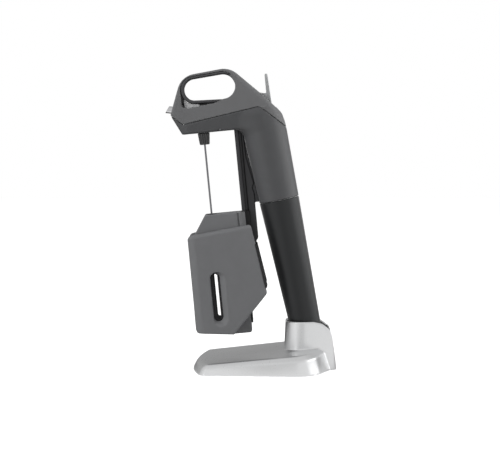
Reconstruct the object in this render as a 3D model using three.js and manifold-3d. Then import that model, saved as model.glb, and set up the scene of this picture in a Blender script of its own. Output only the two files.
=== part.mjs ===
// Wine preservation dispenser on its stand, in millimetres, +Z up.
// The origin is on the table, at the centre of the stand. -Y is the front, where the spout points.
// The dispenser leans in its stand, so it is built upright in a frame of its own, with the needle on
// that frame's Z axis.
import * as THREE from "three";
import { mergeVertices } from "three/addons/utils/BufferGeometryUtils.js";
import Module from "manifold-3d";

const wasm = await Module();
wasm.setup();

// Fits, and how round things are
const FIT_GAP = 0.3; // between pieces that touch or are fixed together
const RUNNING_GAP = 0.4; // between pieces that move on each other
const OVERRUN = 60; // how far a cutting tool runs past what it cuts
const CURVE_STEPS = 4;
const ROUND_SIDES = 16;
const BODY_SIDES = 40;
const ROUND_LOSS_SHARE = 1.5; // rounding lost for each step in from the edge

// How the dispenser stands: its needle leans forward, and its cup leans more
const DEVICE_LEAN = THREE.MathUtils.degToRad(5.5);
const CUP_LEAN = THREE.MathUtils.degToRad(6.4);
const CUP_FOOT_Y = 35.276; // where the middle of the cup's foot stands in the socket
const CUP_FOOT_Z = 21.715;
const CUP_BEHIND_NEEDLE = 55.3; // where the cup's axis crosses the joint with the arm
const JOINT_BELOW_HEAD = 60.5;

// Head, seen from the side
const HEAD_LENGTH = 91.5;
const HEAD_HEIGHT = 49.2;
const HEAD_FLOOR = -0.8;
const NOSE_AHEAD = 25.2; // from the needle to the tip of the nose
const HEAD_WIDTH = 35;
const SHELL_WALL = 2;
const CORNER_ROUND = 8;
const EDGE_ROUND = 2;
const headSideShares = [
  [0.09, 0, 0.2],
  [0, 0.321, 0.5],
  [0.14, 0.929, 1],
  [0.56, 1, 1],
  [1, 0.11, 0.62],
  [1.004, 0, 0],
]; // of the head's length and height, then of the corner rounding
const headPlanShares = [
  [0.47, 0, 0.35],
  [0.7, 0.18, 0.6],
  [1, 0.63, 1.2],
  [1, 1.004, 2],
]; // of half the width and of the length, then of the corner rounding
const headFrontShares = [
  [0.76, 0, 0],
  [1, 0.21, 0],
  [0.43, 1.01, 0.9],
]; // of half the width and of the height, then of the edge rounding
const partingShares = [
  [-0.06, 0.11, 0],
  [0.777, 0.323, 1.1],
  [1.1, -0.22, 0],
]; // of the head's length and height, then of the corner rounding

// Handle window and its grip ring
const WINDOW_FRONT_RADIUS = 8.6;
const WINDOW_REAR_RADIUS = 10;
const WINDOW_FRONT_Y = -3.6;
const WINDOW_REAR_Y = 18.9;
const WINDOW_FRONT_Z = 33.4;
const WINDOW_REAR_Z = 33.7;
const RING_THIN = 1.7;
const RING_THICK = 2.7;
const RING_HALF_WIDTH = 8.2;
const WINDOW_WALL = 1.6;
const slitShares = [
  [0.113, 0.6, 0],
  [0.111, 0.42, 0.2],
  [0.168, 0.397, 0.3],
  [0.4, 0.44, 0.3],
  [0.475, 0.485, 0],
  [0.4, 0.6, 0],
]; // of the head's length and height, then of the corner rounding

// Arm
const ARM_FOOT_RADIUS = 16.1;
const ARM_TOP_RADIUS = 17.8;
const ARM_LENGTH = 61;
const ARM_RISE = 14; // how far the arm's roundness runs on up into the head
const ARM_WALL = 2.2;

// Shell screws and the bosses that take them
const BOSS_RADIUS = 2.8;
const BOSS_BORE = 1.1;
const SCREW_RADIUS = 0.8;
const SCREW_HEAD_RADIUS = 1.7;
const SCREW_HEAD_HEIGHT = 1.2;
const SHELL_SCREW_X = 9.6;
const SHELL_SCREW_Y = 14;
const SHELL_SCREW_LENGTH = 15;

// Rail and its web to the arm
const RAIL_FRONT = 24.7;
const RAIL_FLANGE_HALF_WIDTH = 6;
const RAIL_FLANGE = 3.1;
const RAIL_WEB_HALF_WIDTH = 2.8;
const RAIL_DEPTH = 11.1;
const RAIL_BOTTOM = -92.7;
const RAIL_CORNER = 4;
const WEB_BOTTOM = -57.8;
const TONGUE_LENGTH = 7.6;
const TONGUE_START = 2.6; // behind the rail's front face
const TONGUE_DEPTH = 8;
const RAIL_PIN_RADIUS = 1.1;
const RAIL_PIN_HALF_LENGTH = 6.9;
const RAIL_PIN_Z = 3.4;
const RAIL_BOSS_WIDTH = 3.6;
const RAIL_BOSS_HALF_LENGTH = 2.4;
const RAIL_BOSS_HEIGHT = 5.1;

// Pour spout
const SPOUT_RADIUS = 2.9;
const SPOUT_BORE = 2.1;
const SPOUT_RISE = THREE.MathUtils.degToRad(12);
const SPOUT_LENGTH = 18;
const SPOUT_START_Y = -12.4;
const SPOUT_START_Z = 16.6;
const SPOUT_SLANT = THREE.MathUtils.degToRad(24);

// Valve block, push rod and return spring
const BLOCK_FRONT = -17.2;
const BLOCK_REAR = 7;
const BLOCK_HALF_WIDTH = 6.2;
const BLOCK_BOTTOM = 9;
const BLOCK_STEP_Y = -0.8;
const BLOCK_STEP_Z = 17.2;
const BLOCK_TOP = 26;
const BLOCK_NOSE_Z = 20.4;
const BLOCK_NOSE_BACK = 3.6;
const PASSAGE_RADIUS = 1.2;
const PASSAGE_TOP = 14;
const ROD_RADIUS = 1.6;
const ROD_Z = 14.6;
const ROD_FRONT = 3.4;
const ROD_REAR = 47.5;
const ROD_COLLAR_RADIUS = 2.9;
const ROD_COLLAR_FRONT = 17;
const ROD_COLLAR = 1.4;
const VALVE_BORE_DEPTH = 5.5;
const VALVE_SPRING_RADIUS = 2.5;
const SPRING_WIRE = 0.35;
const VALVE_SPRING_LENGTH = 7;
const VALVE_SPRING_TURNS = 5;
const SPRING_SIDES = 5;
const SPRING_STEPS = 8;

// Needle, its knob, its socket and its seal
const NEEDLE_RADIUS = 0.75;
const NEEDLE_BORE = 0.4;
const NEEDLE_TIP = -84;
const NEEDLE_POINT = 2.2;
const NEEDLE_TOP = 5;
const NEEDLE_PORT_RADIUS = 0.45;
const KNOB_TOP_RADIUS = 5;
const KNOB_FOOT_RADIUS = 4.1;
const KNOB_HEIGHT = 9.9;
const KNOB_CHAMFER = 0.7;
const KNOB_FLUTES = 8;
const FLUTE_RADIUS = 1;
const STEM_RADIUS = 2.6;
const STEM_TOP = 4.8;
const SOCKET_RADIUS = 4.8;
const SOCKET_FOOT_RADIUS = 3.9;
const SOCKET_TOP = 8.4;
const SOCKET_ROOF = 1.2;
const SEAL_RADIUS = 2;
const SEAL_WIRE = 0.55;
const SEAL_LIFT = 0.7;

// Trigger lever on its pin
const TRIGGER_PIVOT_Y = 52.6;
const TRIGGER_PIVOT_Z = 8.6;
const TRIGGER_HALF_WIDTH = 7.5;
const TRIGGER_BARREL = 3;
const TRIGGER_PIN_RADIUS = 1.4;
const TRIGGER_TOP = 40.8;
const TRIGGER_TIP_THICKNESS = 2;
const TRIGGER_FRONT_Y = 53.2;
const TRIGGER_FOOT_Z = 24.9;
const TRIGGER_FOOT_FRONT = 48;
const TRIGGER_FOOT_RISE = 1;
const TRIGGER_PLATE_FRONT = 45.6;
const TRIGGER_PLATE_Z = 26.4;
const TRIGGER_PLATE = 2.6;
const TRIGGER_HEEL_Y = 56.6;
const TRIGGER_HEEL_Z = 15.5;
const TRIGGER_NOSE_Y = 48.2;
const TRIGGER_NOSE_TOP = 17.5;
const TRIGGER_SLOT_FRONT = 42.5;
const TRIGGER_SLOT_REAR = 57.5;
const LUG_THICKNESS = 2;
const LUG_HALF_LENGTH = 4;
const LUG_DROP = 4;

// Gas regulator above the capsule, measured up the arm from its joint with the cup
const REGULATOR_RADIUS = 11;
const REGULATOR_BOTTOM = 14.5;
const REGULATOR_TOP = 40;
const REGULATOR_BORE = 8;
const REGULATOR_FLOOR = 24;
const PIN_HOLE = 1.4;
const NECK_SEAT = 19.5;
const NECK_SEAT_RADIUS = 5.4;
const PIERCE_PIN_RADIUS = 0.9;
const PIERCE_PIN_TIP = 15.4;
const PIERCE_FLANGE_RADIUS = 3;
const PIERCE_FLANGE = 1.4;
const PISTON_BOTTOM = 27;
const PISTON_HEIGHT = 3;
const PISTON_STEM_RADIUS = 2.2;
const PISTON_STEM_TOP = 36;
const REGULATOR_SPRING_RADIUS = 5.2;
const REGULATOR_SPRING_TURNS = 4;
const REGULATOR_WIRE = 0.6;
const REGULATOR_CAP = 4;
const CAP_PLUG = 1.6;
const NIPPLE_RADIUS = 0.9;
const NIPPLE_HEIGHT = 4;
const GAS_X = 5;
const GAS_TUBE_RADIUS = 1.5;
const TUBE_LIFT = 0.9; // of its end above the nipple that it is pushed onto
const gasRouteShares = [
  [1, 0.97, -0.2],
  [1, 0.9, 0.03],
  [1, 0.72, 0.17],
  [1, 0.45, 0.22],
  [1, 0.3, 0.235],
  [1, 0.16, 0.24],
]; // of the gas outlet's X and Y, and of the head's height

// Collar in the arm's foot, and the parts that go up through it
const COLLAR_RADIUS = 12.4;
const COLLAR_BORE = 10.9;
const COLLAR_FLANGE = 4;
const COLLAR_TOP = 12;
const COLLAR_DROP = 9;
const CAPSULE_RADIUS = 10;
const CAPSULE_LIFT = 24; // of its foot above the cup's foot
const CAPSULE_SHOULDER = -5;
const CAPSULE_NECK_FOOT = 7;
const CAPSULE_NECK_RADIUS = 4.2;
const CAPSULE_TOP = 17.4;
const CAPSULE_MOUTH = 1.7;
const CAPSULE_WALL = 1.8;
const CAPSULE_FOOT_ROUND = 4;
const CAPSULE_SEAL_HEIGHT = 1.5;
const CAPSULE_SEAL_BORE = 2.4;

// Cup
const CUP_LENGTH = 118;
const CUP_FOOT_RADIUS = 12.1;
const CUP_CHAMFER = 1.6;
const CUP_THREAD_WALL = 3.2;
const CUP_THREAD_DEPTH = 11;
const CUP_BORE = 10.5;
const CUP_FLOOR = 3;
const PAD_TOP_GAP = 0.4;

// Clamp frame: a guide block that slides on the rail, and a spine below it
const GUIDE_TOP = -67.3;
const GUIDE_BOTTOM = -89;
const GUIDE_FRONT = -16.4;
const GUIDE_TOP_FRONT = -5.1;
const GUIDE_SLANT_BOTTOM = -84;
const GUIDE_HALF_WIDTH = 13;
const GUIDE_REAR_INSET = 0.9;
const GUIDE_GROOVE_Y = 21;
const GUIDE_GROOVE = 1.2;
const EAR_THICKNESS = 4;
const EAR_HOOK = 2.9;
const EAR_CORNER = 2;
const SPINE_BOTTOM = -163.4;
const SPINE_HALF_WIDTH = 8.8;
const SPINE_MIDDLE_FRONT = 15.6;
const SPINE_EDGE_FRONT = 13;
const SPINE_REAR = 23.9;
const NEEDLE_HOLE = 3;
const BUSH_RADIUS = 2.7;
const BUSH_BORE = 1.2;
const BUSH_FLANGE_RADIUS = 4;
const BUSH_FLANGE = 0.9;
const BUSH_DEPTH = 8;
const STRIP_DEPTH = 1.4;
const STRIP_WIDTH = 2;
const STRIP_TOP = -96;
const STRIP_BOTTOM = -157;

// Clamp hinges
const HINGE_X = 11.6;
const HINGE_Y = 19.6;
const HINGE_PIN_RADIUS = 1.1;
const KNUCKLE_RADIUS = 2.4;
const HINGE_TOP = -92;
const FRAME_LUG = 8;
const KNUCKLE = 12;
const SPRING_SPACE = 18;
const KNUCKLE_WEB = 1.3;
const TORSION_RADIUS = 1.9;
const TORSION_TURNS = 5;

// Paddles
const PADDLE_INNER_X = 14.3;
const PADDLE_THICKNESS = 3.7;
const PADDLE_FRONT = -20.7;
const PADDLE_LENGTH = 59.6;
const PADDLE_TOP = -77.2;
const PADDLE_HEIGHT = 86;
const PADDLE_EDGE = 1;
const PADDLE_CORNER = 4;
const paddleShares = [
  [0, -0.055, 0.9],
  [0.861, 0, 0.9],
  [1, -0.631, 1.1],
  [0.487, -1, 0.6],
  [0.003, -0.957, 0.9],
]; // of the paddle's length and height, then of the corner rounding
const LIP_DEPTH = 2;
const LIP_THICKNESS = 3;
const LIP_MARGIN = 6;
const SLOT_Y = -0.6;
const SLOT_HALF_WIDTH = 3.4;
const SLOT_TOP = -114.5;
const SLOT_BOTTOM = -153;
const SLOT_FLARE = 2;
const SLOT_FLARE_DEPTH = 1.6;
const PAD_THICKNESS = 1.8;
const PAD_FRONT = -16;
const PAD_REAR = 11;
const PAD_TOP = -101;
const PAD_BOTTOM = -157.5;
const PAD_ROUND = 3;
const EDGE_STRIP_TOP = -95;
const EDGE_STRIP_LENGTH = 33;
const EDGE_STRIP_DEPTH = 1.5;
const EDGE_STRIP_WIDTH = 2.4;

// Stand
const BASE_HALF_WIDTH = 44.6;
const BASE_FRONT = -58.5;
const BASE_LENGTH = 115;
const BASE_FRONT_HEIGHT = 8.6;
const BASE_REAR_HEIGHT = 19.2;
const BASE_WALL = 2.6;
const BASE_BEVEL = 2.6;
const BASE_CORNER = 12;
const basePlanShares = [
  [0.8, 0, 1.3],
  [1, 0.86, 1.6],
  [0.32, 0.99, 0.4],
]; // of half the width and of the length, then of the corner rounding
const NOSE_SLOPE_LENGTH = 9;
const NOSE_SLOPE_FOOT = 3.4;
const DIMPLE_RADIUS = 16.5;
const DIMPLE_DEPTH = 0.6;
const DIMPLE_Y = -25;
const PAD_HEIGHT = 1.2;
const PAD_INSET = 4;
const COVER_THICKNESS = 1.6;
const COVER_INSET = 2.9;
const BALLAST_THICKNESS = 2.6;
const BALLAST_INSET = 13;
const BALLAST_LIFT = 0.4;
const COVER_SCREW_SIDE_INSET = 16.6; // from the base's sides, front and rear
const COVER_SCREW_FRONT_INSET = 24.5;
const COVER_SCREW_REAR_INSET = 18.5;
const COVER_SCREW_LENGTH = 5;
const COVER_BOSS_RADIUS = 3;

// Socket tower on the stand, and its liner
const TOWER_HEIGHT = 39.4;
const TOWER_FRONT_FOOT = 14.4;
const TOWER_FRONT = 16.2;
const TOWER_FLAT_REAR = 41;
const TOWER_SHOULDER_Y = 51;
const TOWER_SHOULDER_Z = 34;
const TOWER_REAR_Y = 53.4;
const TOWER_REAR_Z = 28.6;
const TOWER_FOOT_REAR = 57.3;
const TOWER_FRONT_HALF_WIDTH = 18;
const TOWER_REAR_HALF_WIDTH = 13.4;
const TOWER_ROUND = 5;
const TOWER_WALL = 1.1;
const SOCKET_FLOOR = 11.4;
const SOCKET_FLOOR_WALL = 1.8;
const LINER_RECESS = 1.4;
const CUP_CLEARANCE = 0.35;
const CUP_TRAVEL_SPACE = 5.6;

// Turns a three.js geometry into a solid that can be cut and joined
function solid(geometry) {
  const bare = geometry.index ? geometry.toNonIndexed() : geometry.clone();
  bare.deleteAttribute("normal");
  bare.deleteAttribute("uv");
  const merged = mergeVertices(bare);
  return new wasm.Manifold(
    new wasm.Mesh({
      numProp: 3,
      vertProperties: merged.attributes.position.array,
      triVerts: new Uint32Array(merged.index.array),
    }),
  );
}

const joined = (first, ...others) => others.reduce((a, b) => a.add(b), first);
const cut = (first, ...tools) => tools.reduce((a, b) => a.subtract(b), first);
const shared = (first, ...others) => others.reduce((a, b) => a.intersect(b), first);

// A named mesh from a solid, with its own material
function piece(name, body, look) {
  const drawn = body.getMesh();
  const geometry = new THREE.BufferGeometry();
  geometry.setAttribute("position", new THREE.BufferAttribute(new Float32Array(drawn.vertProperties), 3));
  geometry.setIndex(new THREE.BufferAttribute(new Uint32Array(drawn.triVerts), 1));
  geometry.computeVertexNormals();
  const mesh = new THREE.Mesh(geometry, new THREE.MeshStandardMaterial(look));
  mesh.name = name;
  return mesh;
}

// Outline with corners rounded off. A corner is [x, y, rounding], and its rounding starts that far from it
function outline(corners) {
  const shape = new THREE.Shape();
  corners.forEach(([x, y, rounding = 0], i) => {
    const corner = new THREE.Vector2(x, y);
    const [px, py] = corners.at(i - 1);
    const [nx, ny] = corners[(i + 1) % corners.length];
    const start = new THREE.Vector2(px - x, py - y).setLength(rounding).add(corner);
    const end = new THREE.Vector2(nx - x, ny - y).setLength(rounding).add(corner);
    if (i === 0) shape.moveTo(start.x, start.y);
    else shape.lineTo(start.x, start.y);
    if (rounding > 0) shape.quadraticCurveTo(x, y, end.x, end.y);
  });
  shape.closePath();
  return shape;
}

// The same corners moved in from the edge by a distance, or out for a negative one
function inset(corners, distance) {
  const turn = Math.sign(THREE.ShapeUtils.area(corners.map(([x, y]) => new THREE.Vector2(x, y))));
  const inward = ([x0, y0], [x1, y1]) =>
    new THREE.Vector2(y0 - y1, x1 - x0).normalize().multiplyScalar(turn);
  return corners.map((corner, i) => {
    const a = inward(corners.at(i - 1), corner);
    const b = inward(corner, corners[(i + 1) % corners.length]);
    const move = a.clone().add(b).multiplyScalar(distance / (1 + a.dot(b)));
    const rounding = Math.max((corner[2] ?? 0) - ROUND_LOSS_SHARE * distance, 0);
    return [corner[0] + move.x, corner[1] + move.y, rounding];
  });
}

// Corners of a half outline on +X, with their mirror images
const bothSides = (half) => [...half, ...half.map(([x, y, r]) => [-x, y, r]).reverse()];

const sharesOf = (shares, width, height, rounding, x0 = 0, y0 = 0) =>
  shares.map(([x, y, r]) => [x0 + x * width, y0 + y * height, r * rounding]);

const extruded = (shape, depth, options) =>
  new THREE.ExtrudeGeometry(shape, { depth, bevelEnabled: false, curveSegments: CURVE_STEPS, ...options });

const axes = (x, y, z) =>
  new THREE.Matrix4().makeBasis(new THREE.Vector3(...x), new THREE.Vector3(...y), new THREE.Vector3(...z));
const SIDEWAYS = axes([0, 1, 0], [0, 0, 1], [1, 0, 0]);
const FACING = axes([1, 0, 0], [0, 0, 1], [0, -1, 0]);

// A shape drawn in Y and Z, extruded along X; one in X and Z, along Y; and one in X and Y, along Z
const acrossX = (shape, from, to) =>
  solid(extruded(shape, to - from).translate(0, 0, from).applyMatrix4(SIDEWAYS));
const acrossY = (shape, from, to) =>
  solid(extruded(shape, to - from).translate(0, 0, -to).applyMatrix4(FACING));
const acrossZ = (shape, from, to) => solid(extruded(shape, to - from).translate(0, 0, from));

// A profile of [radius, height] pairs turned about Z
const turnedShape = (profile, sides = ROUND_SIDES) =>
  new THREE.LatheGeometry(
    profile.map(([r, z]) => new THREE.Vector2(r, z)),
    sides,
  ).rotateX(Math.PI / 2);
const turned = (profile, sides) => solid(turnedShape(profile, sides));

const rodShape = (radius, from, to, sides) =>
  turnedShape([[0, from], [radius, from], [radius, to], [0, to]], sides);
const rod = (radius, from, to, x = 0, y = 0, sides = ROUND_SIDES) =>
  solid(rodShape(radius, from, to, sides).translate(x, y, 0));
const rodAlongX = (radius, halfLength, y, z, sides = ROUND_SIDES) =>
  solid(rodShape(radius, -halfLength, halfLength, sides).rotateY(Math.PI / 2).translate(0, y, z));
const rodAlongY = (radius, from, to, x, z, sides = ROUND_SIDES) =>
  solid(rodShape(radius, from, to, sides).rotateX(-Math.PI / 2).translate(x, 0, z));

const box = (x0, x1, y0, y1, z0, z1) =>
  solid(
    new THREE.BoxGeometry(x1 - x0, y1 - y0, z1 - z0).translate((x0 + x1) / 2, (y0 + y1) / 2, (z0 + z1) / 2),
  );

// A closed ring of round wire about Z
function wireRing(radius, wire, z) {
  const around = Array.from({ length: SPRING_SIDES + 2 }, (_, i) => {
    const angle = (i / (SPRING_SIDES + 1)) * 2 * Math.PI;
    return [radius + wire * Math.cos(angle), z + wire * Math.sin(angle)];
  });
  return turned(around);
}

// A coil of round wire about Z, and the least gap between its turns
class Coil extends THREE.Curve {
  constructor(radius, length, turns) {
    super();
    Object.assign(this, { radius, length, turns });
  }
  getPoint(t, target = new THREE.Vector3()) {
    const angle = 2 * Math.PI * this.turns * t;
    return target.set(this.radius * Math.cos(angle), this.radius * Math.sin(angle), this.length * t);
  }
}

function coil(name, radius, wire, length, turns) {
  const path = new Coil(radius, length, turns);
  const section = new THREE.Shape(
    Array.from({ length: SPRING_SIDES }, (_, i) => {
      const angle = (i / SPRING_SIDES) * 2 * Math.PI;
      return new THREE.Vector2(wire * Math.cos(angle), wire * Math.sin(angle));
    }),
  );
  const points = path.getPoints(turns * SPRING_STEPS);
  const gaps = points.slice(SPRING_STEPS).map((p, i) => p.distanceTo(points[i]) - 2 * wire);
  console.log(name, "least gap between turns", Math.min(...gaps).toFixed(2));
  return new THREE.ExtrudeGeometry(section, {
    steps: turns * SPRING_STEPS,
    extrudePath: path,
    bevelEnabled: false,
  });
}

// Frames: the cup's in the dispenser's, and the dispenser's in the stand's, which the cup's foot sets
const cupFrame = new THREE.Matrix4()
  .makeTranslation(0, CUP_BEHIND_NEEDLE, -JOINT_BELOW_HEAD)
  .multiply(new THREE.Matrix4().makeRotationX(CUP_LEAN));
const leaning = new THREE.Matrix4().makeRotationX(DEVICE_LEAN);
const cupFoot = new THREE.Vector3(0, 0, -CUP_LENGTH).applyMatrix4(cupFrame).applyMatrix4(leaning);
const deviceFrame = new THREE.Matrix4()
  .makeTranslation(0, CUP_FOOT_Y - cupFoot.y, CUP_FOOT_Z - cupFoot.z)
  .multiply(leaning);
const cupInStand = deviceFrame.clone().multiply(cupFrame);

// Colours
const HEAD_GREY = { color: 0x626365, roughness: 0.5, metalness: 0 };
const LOWER_GREY = { color: 0x4c4d4f, roughness: 0.5, metalness: 0 };
const PADDLE_GREY = { color: 0x6a6b6d, roughness: 0.55, metalness: 0 };
const BLACK = { color: 0x26272a, roughness: 0.5, metalness: 0 };
const GLOSS_BLACK = { color: 0x141416, roughness: 0.2, metalness: 0 };
const RUBBER = { color: 0x1d1d1f, roughness: 0.85, metalness: 0 };
const CUP_BLACK = { color: 0x38393b, roughness: 0.38, metalness: 0.3 };
const LEVER_GREY = { color: 0x9a9b9d, roughness: 0.4, metalness: 0.2 };
const SILVER = { color: 0xc2c4c7, roughness: 0.35, metalness: 0.6 };
const STEEL = { color: 0xc8cacc, roughness: 0.22, metalness: 1 };
const BRASS = { color: 0xb79a58, roughness: 0.35, metalness: 1 };

// Head block: where its side, plan and front outlines all hold, plus the round arm
const headSide = sharesOf(headSideShares, HEAD_LENGTH, HEAD_HEIGHT, CORNER_ROUND, -NOSE_AHEAD, HEAD_FLOOR);
const headPlan = bothSides(
  sharesOf(headPlanShares, HEAD_WIDTH / 2, HEAD_LENGTH, CORNER_ROUND, 0, -NOSE_AHEAD),
);
const headFront = bothSides(
  sharesOf(headFrontShares, HEAD_WIDTH / 2, HEAD_HEIGHT, EDGE_ROUND, 0, HEAD_FLOOR),
);

function headBlock(wall) {
  return shared(
    acrossX(outline(inset(headSide, wall)), -HEAD_WIDTH, HEAD_WIDTH),
    acrossZ(outline(inset(headPlan, wall)), -HEAD_HEIGHT, 2 * HEAD_HEIGHT),
    acrossY(outline(inset(headFront, wall)), -HEAD_LENGTH, HEAD_LENGTH),
  );
}

function armCone(wall, from, to) {
  const radiusAt = (t) => ARM_FOOT_RADIUS + (t / ARM_LENGTH) * (ARM_TOP_RADIUS - ARM_FOOT_RADIUS) - wall;
  return solid(
    turnedShape(
      [[0, from], [radiusAt(from), from], [radiusAt(to), to], [0, to]],
      BODY_SIDES,
    ).applyMatrix4(cupFrame),
  );
}

// The arm runs on up into the head, as far as the head's rear slope
function armBlock(wall, from) {
  const [, , , top, shoulder, heel] = inset(headSide, wall);
  return cut(
    armCone(wall, from, ARM_LENGTH + ARM_RISE),
    acrossX(
      outline([
        top,
        shoulder,
        heel,
        [heel[0] + OVERRUN, heel[1]],
        [heel[0] + OVERRUN, top[1] + OVERRUN],
        [top[0], top[1] + OVERRUN],
      ]),
      -HEAD_WIDTH,
      HEAD_WIDTH,
    ),
  );
}

const parting = sharesOf(partingShares, HEAD_LENGTH, HEAD_HEIGHT, CORNER_ROUND, -NOSE_AHEAD, HEAD_FLOOR);
const pastParting = (drop, far) =>
  acrossX(
    outline([
      ...parting.map(([y, z, r]) => [y, z + drop, r]),
      [HEAD_LENGTH + OVERRUN, far],
      [-NOSE_AHEAD - OVERRUN, far],
    ]),
    -HEAD_WIDTH,
    HEAD_WIDTH,
  );
const abovePart = pastParting(FIT_GAP / 2, 2 * HEAD_HEIGHT);
const belowPart = pastParting(-FIT_GAP / 2, -3 * HEAD_HEIGHT);

// Two circles with the tangents that join them, as the handle window and its ring are
function belt(front, rear) {
  const [fy, fz, fr] = front;
  const [ry, rz, rr] = rear;
  const heading = Math.atan2(rz - fz, ry - fy);
  const spread = Math.acos((fr - rr) / Math.hypot(ry - fy, rz - fz));
  const shape = new THREE.Shape();
  shape.absarc(ry, rz, rr, heading - spread, heading + spread, false);
  shape.absarc(fy, fz, fr, heading + spread, heading - spread + 2 * Math.PI, false);
  shape.closePath();
  return shape;
}
const ringShift = (RING_THICK - RING_THIN) / 2;
const ringSpread = (RING_THICK + RING_THIN) / 2;
const windowOutline = (out) =>
  belt(
    [WINDOW_FRONT_Y, WINDOW_FRONT_Z, WINDOW_FRONT_RADIUS + out],
    [WINDOW_REAR_Y, WINDOW_REAR_Z, WINDOW_REAR_RADIUS + out],
  );
const ringOutline = (out) =>
  belt(
    [WINDOW_FRONT_Y - ringShift, WINDOW_FRONT_Z - ringShift, WINDOW_FRONT_RADIUS + ringSpread + out],
    [WINDOW_REAR_Y - ringShift, WINDOW_REAR_Z - ringShift, WINDOW_REAR_RADIUS + ringSpread + out],
  );
const acrossHead = (shape) => acrossX(shape, -HEAD_WIDTH, HEAD_WIDTH);
const ringSpace = acrossHead(ringOutline(FIT_GAP));
const slit = acrossHead(
  outline(sharesOf(slitShares, HEAD_LENGTH, HEAD_HEIGHT, CORNER_ROUND, -NOSE_AHEAD, HEAD_FLOOR)),
);

const gripRing = cut(
  acrossX(ringOutline(0), -RING_HALF_WIDTH, RING_HALF_WIDTH),
  acrossHead(windowOutline(0)),
);

// Spout: a tube along a rising axis, with its mouth cut at a slant
const spoutTube = (radius, length, back = 0) =>
  solid(
    rodShape(radius, -back, length, ROUND_SIDES)
      .rotateX(Math.PI / 2)
      .rotateX(-SPOUT_RISE)
      .translate(0, SPOUT_START_Y, SPOUT_START_Z),
  );
const mouthCut = solid(
  new THREE.BoxGeometry(OVERRUN, OVERRUN, OVERRUN)
    .translate(0, -OVERRUN / 2, 0)
    .rotateX(-SPOUT_RISE - SPOUT_SLANT)
    .translate(
      0,
      SPOUT_START_Y - (SPOUT_LENGTH - SPOUT_RADIUS) * Math.cos(SPOUT_RISE),
      SPOUT_START_Z + (SPOUT_LENGTH - SPOUT_RADIUS) * Math.sin(SPOUT_RISE),
    ),
);
const pourSpout = cut(
  spoutTube(SPOUT_RADIUS, SPOUT_LENGTH + SPOUT_RADIUS),
  spoutTube(SPOUT_BORE, SPOUT_LENGTH + 2 * SPOUT_RADIUS, SPOUT_RADIUS),
  mouthCut,
);
const spoutHole = spoutTube(SPOUT_RADIUS + FIT_GAP, SPOUT_LENGTH + OVERRUN, FIT_GAP);

// Shells of the head
const outer = joined(headBlock(0), armBlock(0, 0));
const hollow = joined(headBlock(SHELL_WALL), armBlock(ARM_WALL, -OVERRUN));
const windowWall = acrossHead(ringOutline(FIT_GAP + WINDOW_WALL));
const triggerSlotHalfWidth = TRIGGER_HALF_WIDTH + RUNNING_GAP;
const triggerSlot = box(
  -triggerSlotHalfWidth,
  triggerSlotHalfWidth,
  TRIGGER_SLOT_FRONT,
  TRIGGER_SLOT_REAR,
  TRIGGER_PIVOT_Z,
  TRIGGER_PIVOT_Z + OVERRUN,
);
const triggerPinHole = rodAlongX(
  TRIGGER_PIN_RADIUS + FIT_GAP / 2,
  triggerSlotHalfWidth + LUG_THICKNESS + FIT_GAP,
  TRIGGER_PIVOT_Y,
  TRIGGER_PIVOT_Z,
);
const triggerLugs = shared(
  cut(
    box(
      -triggerSlotHalfWidth - LUG_THICKNESS,
      triggerSlotHalfWidth + LUG_THICKNESS,
      TRIGGER_PIVOT_Y - LUG_HALF_LENGTH,
      TRIGGER_PIVOT_Y + LUG_HALF_LENGTH,
      TRIGGER_PIVOT_Z - LUG_DROP,
      HEAD_HEIGHT,
    ),
    box(
      -triggerSlotHalfWidth,
      triggerSlotHalfWidth,
      TRIGGER_PIVOT_Y - LUG_HALF_LENGTH - OVERRUN,
      TRIGGER_PIVOT_Y + LUG_HALF_LENGTH + OVERRUN,
      TRIGGER_PIVOT_Z - LUG_DROP - OVERRUN,
      HEAD_HEIGHT + OVERRUN,
    ),
  ),
  headBlock(SHELL_WALL / 2),
);
const sides = [-1, 1];
const atBoth = (make) => joined(...sides.map(make));
const shellBoss = (radius, from, to) =>
  atBoth((side) => rod(radius, from, to, side * SHELL_SCREW_X, SHELL_SCREW_Y));
const partingBand = HEAD_FLOOR + HEAD_HEIGHT * partingShares[1][1];
const bossRoof = WINDOW_FRONT_Z - ringShift - WINDOW_FRONT_RADIUS - ringSpread - FIT_GAP;

const upperShell = cut(
  shared(
    joined(
      cut(outer, cut(hollow, windowWall)),
      triggerLugs,
      shared(shellBoss(BOSS_RADIUS, 0, bossRoof), headBlock(SHELL_WALL / 2)),
    ),
    abovePart,
  ),
  ringSpace,
  slit,
  spoutHole,
  triggerSlot,
  triggerPinHole,
  shellBoss(BOSS_BORE, -OVERRUN, HEAD_FLOOR + SHELL_SCREW_LENGTH + FIT_GAP),
);

const socketHole = rod(SOCKET_FOOT_RADIUS + FIT_GAP, HEAD_FLOOR - OVERRUN, HEAD_FLOOR + SHELL_WALL + FIT_GAP);
const tongueFront = RAIL_FRONT + TONGUE_START;
const tongueHole = box(
  -RAIL_WEB_HALF_WIDTH - FIT_GAP,
  RAIL_WEB_HALF_WIDTH + FIT_GAP,
  tongueFront - FIT_GAP,
  tongueFront + TONGUE_DEPTH + FIT_GAP,
  HEAD_FLOOR - OVERRUN,
  HEAD_FLOOR + OVERRUN,
);
const railPinY = tongueFront + TONGUE_DEPTH / 2;
const railBosses = atBoth((side) => {
  const near = side * (RAIL_WEB_HALF_WIDTH + FIT_GAP);
  const far = near + side * RAIL_BOSS_WIDTH;
  return box(
    Math.min(near, far),
    Math.max(near, far),
    railPinY - RAIL_BOSS_HALF_LENGTH,
    railPinY + RAIL_BOSS_HALF_LENGTH,
    HEAD_FLOOR + SHELL_WALL / 2,
    RAIL_BOSS_HEIGHT,
  );
});
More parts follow.
